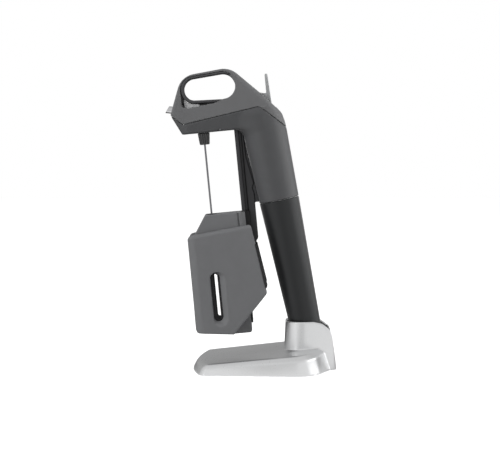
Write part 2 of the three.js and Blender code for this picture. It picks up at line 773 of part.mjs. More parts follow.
const railPinHole = rodAlongX(
  RAIL_PIN_RADIUS + FIT_GAP / 2,
  RAIL_PIN_HALF_LENGTH + FIT_GAP,
  railPinY,
  RAIL_PIN_Z,
);
const lowerShell = cut(
  shared(
    joined(
      cut(outer, hollow),
      shellBoss(BOSS_RADIUS, HEAD_FLOOR + SHELL_WALL / 2, partingBand),
      railBosses,
    ),
    belowPart,
  ),
  socketHole,
  tongueHole,
  railPinHole,
  shellBoss(SCREW_RADIUS + FIT_GAP, -OVERRUN, OVERRUN),
  shellBoss(SCREW_HEAD_RADIUS + FIT_GAP, HEAD_FLOOR - OVERRUN, HEAD_FLOOR + SCREW_HEAD_HEIGHT + FIT_GAP),
);

// A screw that points up, with a slot in its head
function screw(x, y, z, length) {
  return cut(
    joined(
      rod(SCREW_HEAD_RADIUS, z, z + SCREW_HEAD_HEIGHT, x, y, ROUND_SIDES / 2),
      rod(SCREW_RADIUS, z, z + length, x, y, ROUND_SIDES / 2),
    ),
    box(
      x - SCREW_HEAD_RADIUS,
      x + SCREW_HEAD_RADIUS,
      y - SCREW_HEAD_HEIGHT / 4,
      y + SCREW_HEAD_HEIGHT / 4,
      z - FIT_GAP,
      z + SCREW_HEAD_HEIGHT / 2,
    ),
  );
}

// Rail: a flange that the clamp rides on, and a web that runs back to the arm
const railTop = HEAD_FLOOR - FIT_GAP;
const railWeb = cut(
  acrossX(
    outline([
      [RAIL_FRONT + RAIL_FLANGE / 2, railTop],
      [CUP_BEHIND_NEEDLE, railTop],
      [CUP_BEHIND_NEEDLE, WEB_BOTTOM],
      [RAIL_FRONT + RAIL_DEPTH, WEB_BOTTOM],
      [RAIL_FRONT + RAIL_DEPTH, RAIL_BOTTOM, RAIL_CORNER],
      [RAIL_FRONT + RAIL_FLANGE / 2, RAIL_BOTTOM],
    ]),
    -RAIL_WEB_HALF_WIDTH,
    RAIL_WEB_HALF_WIDTH,
  ),
  armCone(-FIT_GAP, WEB_BOTTOM, ARM_LENGTH),
);
const rail = cut(
  joined(
    box(
      -RAIL_FLANGE_HALF_WIDTH,
      RAIL_FLANGE_HALF_WIDTH,
      RAIL_FRONT,
      RAIL_FRONT + RAIL_FLANGE,
      RAIL_BOTTOM,
      railTop,
    ),
    railWeb,
    box(
      -RAIL_WEB_HALF_WIDTH,
      RAIL_WEB_HALF_WIDTH,
      tongueFront,
      tongueFront + TONGUE_DEPTH,
      railTop - RAIL_FLANGE,
      railTop + TONGUE_LENGTH,
    ),
  ),
  railPinHole,
);

// Valve block: light grey under the grip ring, bored for the spout, the needle and the push rod
const blockSide = outline([
  [BLOCK_FRONT + BLOCK_NOSE_BACK / 2, BLOCK_BOTTOM],
  [BLOCK_REAR, BLOCK_BOTTOM],
  [BLOCK_REAR, BLOCK_STEP_Z],
  [BLOCK_STEP_Y, BLOCK_STEP_Z],
  [BLOCK_STEP_Y, BLOCK_TOP],
  [BLOCK_FRONT + BLOCK_NOSE_BACK, BLOCK_TOP],
  [BLOCK_FRONT, BLOCK_NOSE_Z],
]);
const valveBlock = cut(
  acrossX(blockSide, -BLOCK_HALF_WIDTH, BLOCK_HALF_WIDTH),
  ringSpace,
  spoutHole,
  rod(PASSAGE_RADIUS, BLOCK_BOTTOM - FIT_GAP, PASSAGE_TOP),
  rodAlongY(ROD_RADIUS + RUNNING_GAP, BLOCK_REAR - VALVE_BORE_DEPTH, BLOCK_REAR + FIT_GAP, 0, ROD_Z),
  rodAlongY(PASSAGE_RADIUS, SPOUT_START_Y, BLOCK_REAR - VALVE_BORE_DEPTH + FIT_GAP, 0, ROD_Z),
);

const pushRod = joined(
  rodAlongY(ROD_RADIUS, ROD_FRONT, ROD_REAR, 0, ROD_Z),
  rodAlongY(ROD_COLLAR_RADIUS, ROD_COLLAR_FRONT, ROD_COLLAR_FRONT + ROD_COLLAR, 0, ROD_Z),
);
const valveSpring = solid(
  coil("valve_spring", VALVE_SPRING_RADIUS, SPRING_WIRE, VALVE_SPRING_LENGTH, VALVE_SPRING_TURNS)
    .rotateX(-Math.PI / 2)
    .translate(0, BLOCK_REAR + FIT_GAP + SPRING_WIRE, ROD_Z),
);

// Needle and what holds it
const needle = cut(
  turned([
    [0, NEEDLE_TIP],
    [NEEDLE_RADIUS, NEEDLE_TIP + NEEDLE_POINT],
    [NEEDLE_RADIUS, NEEDLE_TOP],
    [NEEDLE_BORE, NEEDLE_TOP],
    [NEEDLE_BORE, NEEDLE_TIP + 2 * NEEDLE_POINT],
    [0, NEEDLE_TIP + 2 * NEEDLE_POINT],
  ], ROUND_SIDES / 2),
  rodAlongX(NEEDLE_PORT_RADIUS, NEEDLE_RADIUS * 2, 0, NEEDLE_TIP + 3 * NEEDLE_POINT, ROUND_SIDES / 2),
);
const knobTop = HEAD_FLOOR - RUNNING_GAP;
const knobFoot = knobTop - KNOB_HEIGHT;
const needleHole = rod(
  NEEDLE_RADIUS + FIT_GAP / 2,
  knobFoot - OVERRUN,
  STEM_TOP + OVERRUN,
  0,
  0,
  ROUND_SIDES / 2,
);
const flutes = Array.from({ length: KNOB_FLUTES }, (_, i) => {
  const angle = (i / KNOB_FLUTES) * 2 * Math.PI;
  return rod(
    FLUTE_RADIUS,
    knobFoot - FIT_GAP,
    knobTop - 2 * KNOB_CHAMFER,
    KNOB_TOP_RADIUS * Math.cos(angle),
    KNOB_TOP_RADIUS * Math.sin(angle),
    ROUND_SIDES / 2,
  );
});
const needleKnob = cut(
  turned([
    [0, knobFoot],
    [KNOB_FOOT_RADIUS - KNOB_CHAMFER, knobFoot],
    [KNOB_FOOT_RADIUS, knobFoot + KNOB_CHAMFER],
    [KNOB_TOP_RADIUS, knobTop - KNOB_CHAMFER],
    [KNOB_TOP_RADIUS - KNOB_CHAMFER, knobTop],
    [STEM_RADIUS, knobTop],
    [STEM_RADIUS, STEM_TOP],
    [0, STEM_TOP],
  ]),
  needleHole,
  ...flutes,
);
const socketBore = STEM_RADIUS + RUNNING_GAP;
const needleSocket = turned([
  [socketBore, HEAD_FLOOR],
  [SOCKET_FOOT_RADIUS, HEAD_FLOOR],
  [SOCKET_FOOT_RADIUS, HEAD_FLOOR + SHELL_WALL + FIT_GAP],
  [SOCKET_RADIUS, HEAD_FLOOR + SHELL_WALL + FIT_GAP],
  [SOCKET_RADIUS, SOCKET_TOP],
  [PASSAGE_RADIUS, SOCKET_TOP],
  [PASSAGE_RADIUS, SOCKET_TOP - SOCKET_ROOF],
  [socketBore, SOCKET_TOP - SOCKET_ROOF],
  [socketBore, HEAD_FLOOR],
]);
const needleSeal = wireRing(SEAL_RADIUS, SEAL_WIRE, STEM_TOP + SEAL_WIRE + SEAL_LIFT);

// Trigger lever: a thin blade with a foot that covers the slot, and a barrel on the pin
const triggerLever = cut(
  joined(
    acrossX(
      outline([
        [TRIGGER_NOSE_Y, TRIGGER_PIVOT_Z + TRIGGER_BARREL],
        [TRIGGER_NOSE_Y, TRIGGER_NOSE_TOP],
        [TRIGGER_PLATE_FRONT, TRIGGER_PLATE_Z - TRIGGER_PLATE],
        [TRIGGER_PLATE_FRONT, TRIGGER_PLATE_Z],
        [TRIGGER_FOOT_FRONT, TRIGGER_FOOT_Z + TRIGGER_FOOT_RISE, TRIGGER_FOOT_RISE],
        [TRIGGER_FRONT_Y, TRIGGER_FOOT_Z],
        [TRIGGER_FRONT_Y, TRIGGER_TOP, TRIGGER_TIP_THICKNESS / 2],
        [TRIGGER_FRONT_Y + TRIGGER_TIP_THICKNESS, TRIGGER_TOP, TRIGGER_TIP_THICKNESS / 2],
        [TRIGGER_HEEL_Y, TRIGGER_HEEL_Z],
        [TRIGGER_PIVOT_Y + TRIGGER_BARREL, TRIGGER_PIVOT_Z],
        [TRIGGER_PIVOT_Y - TRIGGER_BARREL, TRIGGER_PIVOT_Z],
      ]),
      -TRIGGER_HALF_WIDTH,
      TRIGGER_HALF_WIDTH,
    ),
    rodAlongX(TRIGGER_BARREL, TRIGGER_HALF_WIDTH, TRIGGER_PIVOT_Y, TRIGGER_PIVOT_Z),
  ),
  rodAlongX(TRIGGER_PIN_RADIUS + FIT_GAP / 2, HEAD_WIDTH, TRIGGER_PIVOT_Y, TRIGGER_PIVOT_Z),
);
const triggerPin = rodAlongX(
  TRIGGER_PIN_RADIUS,
  triggerSlotHalfWidth + LUG_THICKNESS,
  TRIGGER_PIVOT_Y,
  TRIGGER_PIVOT_Z,
);

// Gas side, measured up the cup's axis
const regulatorBody = turned([
  [PIN_HOLE, NECK_SEAT],
  [NECK_SEAT_RADIUS, NECK_SEAT],
  [NECK_SEAT_RADIUS, REGULATOR_BOTTOM],
  [REGULATOR_RADIUS, REGULATOR_BOTTOM],
  [REGULATOR_RADIUS, REGULATOR_TOP],
  [REGULATOR_BORE, REGULATOR_TOP],
  [REGULATOR_BORE, REGULATOR_FLOOR],
  [PIN_HOLE, REGULATOR_FLOOR],
  [PIN_HOLE, NECK_SEAT],
]);
const piercingPin = turned([
  [0, PIERCE_PIN_TIP],
  [PIERCE_PIN_RADIUS, PIERCE_PIN_TIP + 2 * PIERCE_PIN_RADIUS],
  [PIERCE_PIN_RADIUS, REGULATOR_FLOOR + FIT_GAP],
  [PIERCE_FLANGE_RADIUS, REGULATOR_FLOOR + FIT_GAP],
  [PIERCE_FLANGE_RADIUS, REGULATOR_FLOOR + FIT_GAP + PIERCE_FLANGE],
  [0, REGULATOR_FLOOR + FIT_GAP + PIERCE_FLANGE],
]);
const regulatorPiston = turned([
  [0, PISTON_BOTTOM],
  [REGULATOR_BORE - FIT_GAP, PISTON_BOTTOM],
  [REGULATOR_BORE - FIT_GAP, PISTON_BOTTOM + PISTON_HEIGHT],
  [PISTON_STEM_RADIUS, PISTON_BOTTOM + PISTON_HEIGHT],
  [PISTON_STEM_RADIUS, PISTON_STEM_TOP],
  [0, PISTON_STEM_TOP],
]);
const springFoot = PISTON_BOTTOM + PISTON_HEIGHT + REGULATOR_WIRE + FIT_GAP;
const springRoof = REGULATOR_TOP - CAP_PLUG - REGULATOR_WIRE - FIT_GAP;
const regulatorSpring = solid(
  coil(
    "regulator_spring",
    REGULATOR_SPRING_RADIUS,
    REGULATOR_WIRE,
    springRoof - springFoot,
    REGULATOR_SPRING_TURNS,
  ).translate(0, 0, springFoot),
);
const capBottom = REGULATOR_TOP + FIT_GAP;
const regulatorCap = cut(
  joined(
    turned([
      [0, REGULATOR_TOP - CAP_PLUG],
      [REGULATOR_BORE - FIT_GAP, REGULATOR_TOP - CAP_PLUG],
      [REGULATOR_BORE - FIT_GAP, capBottom],
      [REGULATOR_RADIUS, capBottom],
      [REGULATOR_RADIUS, capBottom + REGULATOR_CAP],
      [0, capBottom + REGULATOR_CAP],
    ]),
    rod(
      GAS_TUBE_RADIUS + FIT_GAP,
      capBottom + REGULATOR_CAP / 2,
      capBottom + REGULATOR_CAP + NIPPLE_HEIGHT,
      GAS_X,
    ),
  ),
  rod(NIPPLE_RADIUS, REGULATOR_TOP - CAP_PLUG - OVERRUN, REGULATOR_TOP + OVERRUN, GAS_X),
);
const nippleHeight = capBottom + REGULATOR_CAP + NIPPLE_HEIGHT;
const nippleTop = new THREE.Vector3(GAS_X, 0, nippleHeight).applyMatrix4(cupFrame);
const gasTubePath = new THREE.CatmullRomCurve3([
  nippleTop.clone().add(new THREE.Vector3(0, 0, TUBE_LIFT)),
  ...gasRouteShares.map(([x, y, z]) => new THREE.Vector3(GAS_X * x, nippleTop.y * y, HEAD_HEIGHT * z)),
]);
const gasTube = solid(
  new THREE.ExtrudeGeometry(
    new THREE.Shape().absarc(0, 0, GAS_TUBE_RADIUS, 0, 2 * Math.PI, false),
    { steps: ROUND_SIDES, curveSegments: SPRING_STEPS / 2, extrudePath: gasTubePath, bevelEnabled: false },
  ),
);
const capsuleSeal = turned([
  [CAPSULE_SEAL_BORE, CAPSULE_TOP + FIT_GAP],
  [NECK_SEAT_RADIUS - FIT_GAP, CAPSULE_TOP + FIT_GAP],
  [NECK_SEAT_RADIUS - FIT_GAP, CAPSULE_TOP + FIT_GAP + CAPSULE_SEAL_HEIGHT],
  [CAPSULE_SEAL_BORE, CAPSULE_TOP + FIT_GAP + CAPSULE_SEAL_HEIGHT],
  [CAPSULE_SEAL_BORE, CAPSULE_TOP + FIT_GAP],
]);
const armBore = ARM_FOOT_RADIUS - ARM_WALL;
const neckCollar = turned([
  [COLLAR_BORE, -COLLAR_DROP],
  [COLLAR_RADIUS, -COLLAR_DROP],
  [COLLAR_RADIUS, COLLAR_TOP - COLLAR_FLANGE],
  [armBore - FIT_GAP, COLLAR_TOP - COLLAR_FLANGE],
  [armBore - FIT_GAP, COLLAR_TOP],
  [COLLAR_BORE, COLLAR_TOP],
  [COLLAR_BORE, -COLLAR_DROP],
], BODY_SIDES / 2);
const capsuleBottom = CAPSULE_LIFT - CUP_LENGTH;
const gasCapsule = turned([
  [0, capsuleBottom],
  [CAPSULE_RADIUS - CAPSULE_FOOT_ROUND, capsuleBottom],
  [CAPSULE_RADIUS, capsuleBottom + CAPSULE_FOOT_ROUND],
  [CAPSULE_RADIUS, CAPSULE_SHOULDER],
  [CAPSULE_NECK_RADIUS, CAPSULE_NECK_FOOT],
  [CAPSULE_NECK_RADIUS, CAPSULE_TOP],
  [CAPSULE_MOUTH, CAPSULE_TOP],
  [CAPSULE_MOUTH, CAPSULE_NECK_FOOT - CAPSULE_WALL],
  [CAPSULE_RADIUS - CAPSULE_WALL, CAPSULE_SHOULDER],
  [CAPSULE_RADIUS - CAPSULE_WALL, capsuleBottom + CAPSULE_FOOT_ROUND],
  [0, capsuleBottom + CAPSULE_WALL],
], BODY_SIDES / 2);

// Cup: tapered outside, bored for the capsule, with a wide mouth that screws onto the collar
function cupRadius(t, clearance = 0) {
  return ARM_FOOT_RADIUS + (t / CUP_LENGTH) * (ARM_FOOT_RADIUS - CUP_FOOT_RADIUS) + clearance;
}
const cupTop = -FIT_GAP;
const capsuleCup = turned([
  [0, -CUP_LENGTH],
  [cupRadius(-CUP_LENGTH) - CUP_CHAMFER, -CUP_LENGTH],
  [cupRadius(-CUP_LENGTH + CUP_CHAMFER), -CUP_LENGTH + CUP_CHAMFER],
  [cupRadius(cupTop), cupTop],
  [cupRadius(cupTop) - CUP_THREAD_WALL, cupTop],
  [cupRadius(cupTop) - CUP_THREAD_WALL, -CUP_THREAD_DEPTH],
  [CUP_BORE, -CUP_THREAD_DEPTH],
  [CUP_BORE, -CUP_LENGTH + CUP_FLOOR],
  [0, -CUP_LENGTH + CUP_FLOOR],
], BODY_SIDES);
const capsulePad = rod(
  CUP_BORE - FIT_GAP,
  -CUP_LENGTH + CUP_FLOOR + FIT_GAP,
  capsuleBottom - PAD_TOP_GAP,
);

// Clamp frame
const earFront = RAIL_FRONT - RUNNING_GAP;
const earHookFront = RAIL_FRONT + RAIL_FLANGE + RUNNING_GAP;
const earInner = RAIL_FLANGE_HALF_WIDTH + RUNNING_GAP;
const guideRearHalfWidth = GUIDE_HALF_WIDTH - GUIDE_REAR_INSET;
const guidePlan = outline(
  bothSides([
    [GUIDE_HALF_WIDTH, GUIDE_FRONT],
    [GUIDE_HALF_WIDTH, GUIDE_GROOVE_Y],
    [guideRearHalfWidth, GUIDE_GROOVE_Y],
    [guideRearHalfWidth, GUIDE_GROOVE_Y + GUIDE_GROOVE],
    [guideRearHalfWidth + GUIDE_REAR_INSET / 2, GUIDE_GROOVE_Y + GUIDE_GROOVE],
    [guideRearHalfWidth, earFront],
    [earInner + EAR_THICKNESS, earHookFront + EAR_HOOK, EAR_CORNER],
    [RAIL_WEB_HALF_WIDTH + RUNNING_GAP, earHookFront + EAR_HOOK],
    [RAIL_WEB_HALF_WIDTH + RUNNING_GAP, earHookFront],
    [earInner, earHookFront],
    [earInner, earFront],
  ]),
);
const guideBlock = shared(
  acrossZ(guidePlan, GUIDE_BOTTOM, GUIDE_TOP),
  acrossX(
    outline([
      [GUIDE_FRONT, GUIDE_BOTTOM],
      [GUIDE_FRONT, GUIDE_SLANT_BOTTOM],
      [GUIDE_TOP_FRONT, GUIDE_TOP],
      [GUIDE_TOP_FRONT + OVERRUN, GUIDE_TOP],
      [GUIDE_TOP_FRONT + OVERRUN, GUIDE_BOTTOM],
    ]),
    -HEAD_WIDTH,
    HEAD_WIDTH,
  ),
);
const spine = acrossZ(
  outline(
    bothSides([
      [SPINE_HALF_WIDTH / 3, SPINE_MIDDLE_FRONT, SPINE_HALF_WIDTH / 4],
      [SPINE_HALF_WIDTH, SPINE_EDGE_FRONT],
      [SPINE_HALF_WIDTH, SPINE_REAR],
    ]),
  ),
  SPINE_BOTTOM,
  GUIDE_BOTTOM + FIT_GAP,
);
const lugTops = [HINGE_TOP, HINGE_TOP - FRAME_LUG - 2 * KNUCKLE - SPRING_SPACE - 2 * RUNNING_GAP];
const knuckleTops = [
  HINGE_TOP - FRAME_LUG - RUNNING_GAP,
  HINGE_TOP - FRAME_LUG - KNUCKLE - SPRING_SPACE - RUNNING_GAP,
];
const hingePinBore = HINGE_PIN_RADIUS + FIT_GAP / 2;
const frameLugs = lugTops.flatMap((top) =>
  sides.map((side) =>
    joined(
      rod(KNUCKLE_RADIUS, top - FRAME_LUG, top, side * HINGE_X, HINGE_Y),
      box(
        Math.min(side * (SPINE_HALF_WIDTH - KNUCKLE_WEB), side * HINGE_X),
        Math.max(side * (SPINE_HALF_WIDTH - KNUCKLE_WEB), side * HINGE_X),
        HINGE_Y - KNUCKLE_RADIUS,
        HINGE_Y + KNUCKLE_RADIUS,
        top - FRAME_LUG,
        top,
      ),
    ),
  ),
);
const hingeFoot = lugTops[1] - FRAME_LUG;
const clampFrame = cut(
  joined(guideBlock, spine, ...frameLugs),
  rod(NEEDLE_HOLE, GUIDE_BOTTOM - OVERRUN, GUIDE_TOP + OVERRUN),
  rod(BUSH_FLANGE_RADIUS + FIT_GAP, GUIDE_TOP - BUSH_FLANGE - FIT_GAP, GUIDE_TOP + OVERRUN),
  ...sides.map((side) =>
    rod(hingePinBore, hingeFoot - OVERRUN, HINGE_TOP + FIT_GAP, side * HINGE_X, HINGE_Y),
  ),
);
const needleBush = turned([
  [BUSH_BORE, GUIDE_TOP - BUSH_DEPTH],
  [BUSH_RADIUS, GUIDE_TOP - BUSH_DEPTH],
  [BUSH_RADIUS, GUIDE_TOP - BUSH_FLANGE],
  [BUSH_FLANGE_RADIUS, GUIDE_TOP - BUSH_FLANGE],
  [BUSH_FLANGE_RADIUS, GUIDE_TOP],
  [BUSH_BORE, GUIDE_TOP],
  [BUSH_BORE, GUIDE_TOP - BUSH_DEPTH],
]);

// Paddles, drawn for the right side (+X) and mirrored for the left
const paddleCorners = sharesOf(
  paddleShares,
  PADDLE_LENGTH,
  PADDLE_HEIGHT,
  PADDLE_CORNER,
  PADDLE_FRONT,
  PADDLE_TOP,
);
const slotShape = (out) =>
  outline([
    [SLOT_Y - SLOT_HALF_WIDTH - out, SLOT_BOTTOM - out, SLOT_HALF_WIDTH],
    [SLOT_Y + SLOT_HALF_WIDTH + out, SLOT_BOTTOM - out, SLOT_HALF_WIDTH],
    [SLOT_Y + SLOT_HALF_WIDTH + out, SLOT_TOP + out, SLOT_HALF_WIDTH],
    [SLOT_Y - SLOT_HALF_WIDTH - out, SLOT_TOP + out, SLOT_HALF_WIDTH],
  ]);
const paddleOuterX = PADDLE_INNER_X + PADDLE_THICKNESS;
const paddlePlate = solid(
  extruded(outline(inset(paddleCorners, PADDLE_EDGE)), PADDLE_THICKNESS - 2 * PADDLE_EDGE, {
    bevelEnabled: true,
    bevelThickness: PADDLE_EDGE,
    bevelSize: PADDLE_EDGE,
    bevelSegments: 1,
  })
    .translate(0, 0, PADDLE_INNER_X + PADDLE_EDGE)
    .applyMatrix4(SIDEWAYS),
);
const paddleLip = shared(
  box(
    PADDLE_INNER_X - LIP_DEPTH,
    PADDLE_INNER_X + PADDLE_EDGE,
    PADDLE_FRONT + PADDLE_EDGE / 2,
    PADDLE_FRONT + LIP_THICKNESS,
    PADDLE_TOP - PADDLE_HEIGHT + LIP_MARGIN,
    PADDLE_TOP - LIP_MARGIN,
  ),
  acrossHead(outline(paddleCorners)),
);
const paddleKnuckles = knuckleTops.map((top) =>
  cut(
    joined(
      rod(KNUCKLE_RADIUS, top - KNUCKLE, top, HINGE_X, HINGE_Y),
      box(
        HINGE_X,
        PADDLE_INNER_X + PADDLE_EDGE,
        HINGE_Y - KNUCKLE_WEB,
        HINGE_Y + KNUCKLE_WEB,
        top - KNUCKLE,
        top,
      ),
    ),
    rod(hingePinBore, top - KNUCKLE - FIT_GAP, top + FIT_GAP, HINGE_X, HINGE_Y),
  ),
);
const rightPaddle = cut(
  joined(paddlePlate, paddleLip, ...paddleKnuckles),
  acrossX(slotShape(0), 0, HEAD_WIDTH),
  acrossX(slotShape(SLOT_FLARE), paddleOuterX - SLOT_FLARE_DEPTH, HEAD_WIDTH),
);
const padInnerX = PADDLE_INNER_X - FIT_GAP - PAD_THICKNESS;
const rightPad = cut(
  acrossX(
    outline([
      [PAD_FRONT, PAD_BOTTOM, PAD_ROUND],
      [PAD_REAR, PAD_BOTTOM, PAD_ROUND],
      [PAD_REAR, PAD_TOP, PAD_ROUND],
      [PAD_FRONT, PAD_TOP, PAD_ROUND],
    ]),
    padInnerX,
    padInnerX + PAD_THICKNESS,
  ),
  acrossX(slotShape(FIT_GAP), 0, HEAD_WIDTH),
);
// The strip lies along the paddle's upper rear edge
const [, [topRearY, topRearZ], [midRearY, midRearZ]] = paddleCorners;
const rearSlope = (midRearY - topRearY) / (midRearZ - topRearZ);
const rearEdgeY = (z) => topRearY + rearSlope * (z - topRearZ);
const edgeStripBottom = EDGE_STRIP_TOP - EDGE_STRIP_LENGTH;
const edgeStripMiddleX = PADDLE_INNER_X + PADDLE_THICKNESS / 2;
const rightEdgeStrip = acrossX(
  outline([
    [rearEdgeY(EDGE_STRIP_TOP) + FIT_GAP, EDGE_STRIP_TOP],
    [rearEdgeY(EDGE_STRIP_TOP) + FIT_GAP + EDGE_STRIP_DEPTH, EDGE_STRIP_TOP - EDGE_STRIP_DEPTH],
    [rearEdgeY(edgeStripBottom) + FIT_GAP + EDGE_STRIP_DEPTH, edgeStripBottom, EDGE_STRIP_DEPTH / 2],
    [rearEdgeY(edgeStripBottom) + FIT_GAP, edgeStripBottom],
  ]),
  edgeStripMiddleX - EDGE_STRIP_WIDTH / 2,
  edgeStripMiddleX + EDGE_STRIP_WIDTH / 2,
);

const onSide = (body, side) => (side > 0 ? body : body.mirror([1, 0, 0]));
const hingePin = rod(HINGE_PIN_RADIUS, hingeFoot, HINGE_TOP, HINGE_X, HINGE_Y, ROUND_SIDES / 2);
const springTop = knuckleTops[0] - KNUCKLE - RUNNING_GAP - SPRING_WIRE;
const springFootZ = knuckleTops[1] + RUNNING_GAP + SPRING_WIRE;
const clampSpring = solid(
  coil("clamp_spring", TORSION_RADIUS, SPRING_WIRE, springTop - springFootZ, TORSION_TURNS).translate(
    HINGE_X,
    HINGE_Y,
    springFootZ,
  ),
);
const guideStrip = box(
  SPINE_HALF_WIDTH - STRIP_WIDTH,
  SPINE_HALF_WIDTH,
  SPINE_REAR + FIT_GAP,
  SPINE_REAR + FIT_GAP + STRIP_DEPTH,
  STRIP_BOTTOM,
  STRIP_TOP,
);

// Base of the stand: its top slopes up to the rear, and its edge is bevelled
const basePlan = (distance) =>
  inset(
    bothSides(sharesOf(basePlanShares, BASE_HALF_WIDTH, BASE_LENGTH, BASE_CORNER, 0, BASE_FRONT)),
    distance,
  );
const baseRear = BASE_FRONT + BASE_LENGTH;
const topHeight = (y) =>
  BASE_FRONT_HEIGHT + ((y - BASE_FRONT) / BASE_LENGTH) * (BASE_REAR_HEIGHT - BASE_FRONT_HEIGHT);
function slopedBlock(wall) {
  const blank = extruded(outline(basePlan(wall + BASE_BEVEL)), BASE_REAR_HEIGHT - BASE_BEVEL, {
    bevelEnabled: true,
    bevelThickness: BASE_BEVEL,
    bevelSize: BASE_BEVEL,
    bevelSegments: 2,
  });
  const points = blank.attributes.position;
  for (let i = 0; i < points.count; i += 1) {
    const scale = (topHeight(points.getY(i)) - wall) / BASE_REAR_HEIGHT;
    points.setZ(i, points.getZ(i) * scale);
  }
  return shared(
    solid(blank),
    acrossX(
      outline([
        [BASE_FRONT + wall, -BASE_BEVEL],
        [BASE_FRONT + wall, NOSE_SLOPE_FOOT],
        [BASE_FRONT + wall + NOSE_SLOPE_LENGTH, topHeight(BASE_FRONT + NOSE_SLOPE_LENGTH) - wall],
        [BASE_FRONT + wall + NOSE_SLOPE_LENGTH, BASE_REAR_HEIGHT],
        [baseRear + OVERRUN, BASE_REAR_HEIGHT],
        [baseRear + OVERRUN, -BASE_BEVEL],
      ]),
      -2 * BASE_HALF_WIDTH,
      2 * BASE_HALF_WIDTH,
    ),
  );
}
const baseFloor = PAD_HEIGHT + FIT_GAP;

// Tower: where its side and plan outlines both hold
const towerSide = (wall, floor) =>
  inset(
    [
      [TOWER_FRONT_FOOT, floor],
      [TOWER_FRONT, TOWER_HEIGHT],
      [TOWER_FLAT_REAR, TOWER_HEIGHT, TOWER_ROUND / 2],
      [TOWER_SHOULDER_Y, TOWER_SHOULDER_Z, TOWER_ROUND / 2],
      [TOWER_REAR_Y, TOWER_REAR_Z, TOWER_ROUND / 2],
      [TOWER_FOOT_REAR, floor],
    ],
    wall,
  );
const towerPlan = (wall) =>
  inset(
    bothSides([
      [TOWER_FRONT_HALF_WIDTH, TOWER_FRONT_FOOT, TOWER_ROUND],
      [TOWER_REAR_HALF_WIDTH, TOWER_FOOT_REAR, TOWER_ROUND],
    ]),
    wall,
  );
const towerBlock = shared(
  acrossX(outline(towerSide(0, 0)), -BASE_HALF_WIDTH, BASE_HALF_WIDTH),
  acrossZ(outline(towerPlan(0)), -TOWER_HEIGHT, 2 * TOWER_HEIGHT),
);
function pocket(gap, floor, roof) {
  return shared(
    acrossX(outline(towerSide(TOWER_WALL + gap, -TOWER_HEIGHT)), -BASE_HALF_WIDTH, BASE_HALF_WIDTH).translate(
      0,
      0,
      roof,
    ),
    acrossZ(outline(towerPlan(TOWER_WALL + gap)), floor, 2 * TOWER_HEIGHT),
  );
}
const cupSpace = solid(
  turnedShape(
    [
      [0, -CUP_LENGTH - CUP_TRAVEL_SPACE],
      [cupRadius(-CUP_LENGTH, CUP_CLEARANCE), -CUP_LENGTH - CUP_TRAVEL_SPACE],
      [cupRadius(-CUP_LENGTH, CUP_CLEARANCE), -CUP_LENGTH],
      [cupRadius(0, CUP_CLEARANCE), 0],
      [0, 0],
    ],
    BODY_SIDES,
  ).applyMatrix4(cupInStand),
);
const coverScrewX = BASE_HALF_WIDTH - COVER_SCREW_SIDE_INSET;
const coverScrewRows = [BASE_FRONT + COVER_SCREW_FRONT_INSET, baseRear - COVER_SCREW_REAR_INSET];
const coverScrewPlaces = coverScrewRows.flatMap((y) => sides.map((side) => [side * coverScrewX, y]));
const coverTop = baseFloor + COVER_THICKNESS;
const coverBosses = shared(
  joined(
    ...coverScrewPlaces.map(([x, y]) => rod(COVER_BOSS_RADIUS, coverTop + FIT_GAP, BASE_REAR_HEIGHT, x, y)),
  ),
  slopedBlock(BASE_WALL / 2),
);
const baseShell = cut(
  joined(
    cut(joined(slopedBlock(0), towerBlock), slopedBlock(BASE_WALL)),
    shared(
      acrossZ(outline(towerPlan(0)), SOCKET_FLOOR - SOCKET_FLOOR_WALL, BASE_REAR_HEIGHT),
      joined(slopedBlock(BASE_WALL / 2), towerBlock),
    ),
    coverBosses,
  ),
  pocket(0, SOCKET_FLOOR, TOWER_WALL * 2),
  ...coverScrewPlaces.map(([x, y]) =>
    rod(BOSS_BORE, -OVERRUN, baseFloor + COVER_SCREW_LENGTH + FIT_GAP, x, y, ROUND_SIDES / 2),
  ),
  solid(
    turnedShape(
      [
        [0, -DIMPLE_DEPTH],
        [DIMPLE_RADIUS - DIMPLE_DEPTH, -DIMPLE_DEPTH],
        [DIMPLE_RADIUS + DIMPLE_DEPTH, DIMPLE_DEPTH],
        [0, DIMPLE_DEPTH],
      ],
      BODY_SIDES,
    )
      .rotateX(Math.atan2(BASE_REAR_HEIGHT - BASE_FRONT_HEIGHT, BASE_LENGTH))
      .translate(0, DIMPLE_Y, topHeight(DIMPLE_Y)),
  ),
  box(
    -2 * BASE_HALF_WIDTH,
    2 * BASE_HALF_WIDTH,
    -BASE_LENGTH,
    BASE_LENGTH,
    -OVERRUN,
    baseFloor - FIT_GAP / 2,
  ),
);
const socketLiner = cut(pocket(FIT_GAP, SOCKET_FLOOR + FIT_GAP, -LINER_RECESS), cupSpace);
const bottomCover = cut(
  acrossZ(outline(basePlan(COVER_INSET)), baseFloor, coverTop),
  ...coverScrewPlaces.flatMap(([x, y]) => [
    rod(SCREW_RADIUS + FIT_GAP, -OVERRUN, OVERRUN, x, y, ROUND_SIDES / 2),
    rod(SCREW_HEAD_RADIUS + FIT_GAP, -OVERRUN, baseFloor + SCREW_HEAD_HEIGHT, x, y),
  ]),
);
const slipPad = acrossZ(outline(basePlan(PAD_INSET)), 0, PAD_HEIGHT);
const ballastBottom = coverTop + BALLAST_LIFT;
const ballastPlate = cut(
  acrossZ(outline(basePlan(BALLAST_INSET)), ballastBottom, ballastBottom + BALLAST_THICKNESS),
  ...coverScrewPlaces.map(([x, y]) => rod(COVER_BOSS_RADIUS + FIT_GAP, 0, BASE_REAR_HEIGHT, x, y)),
);

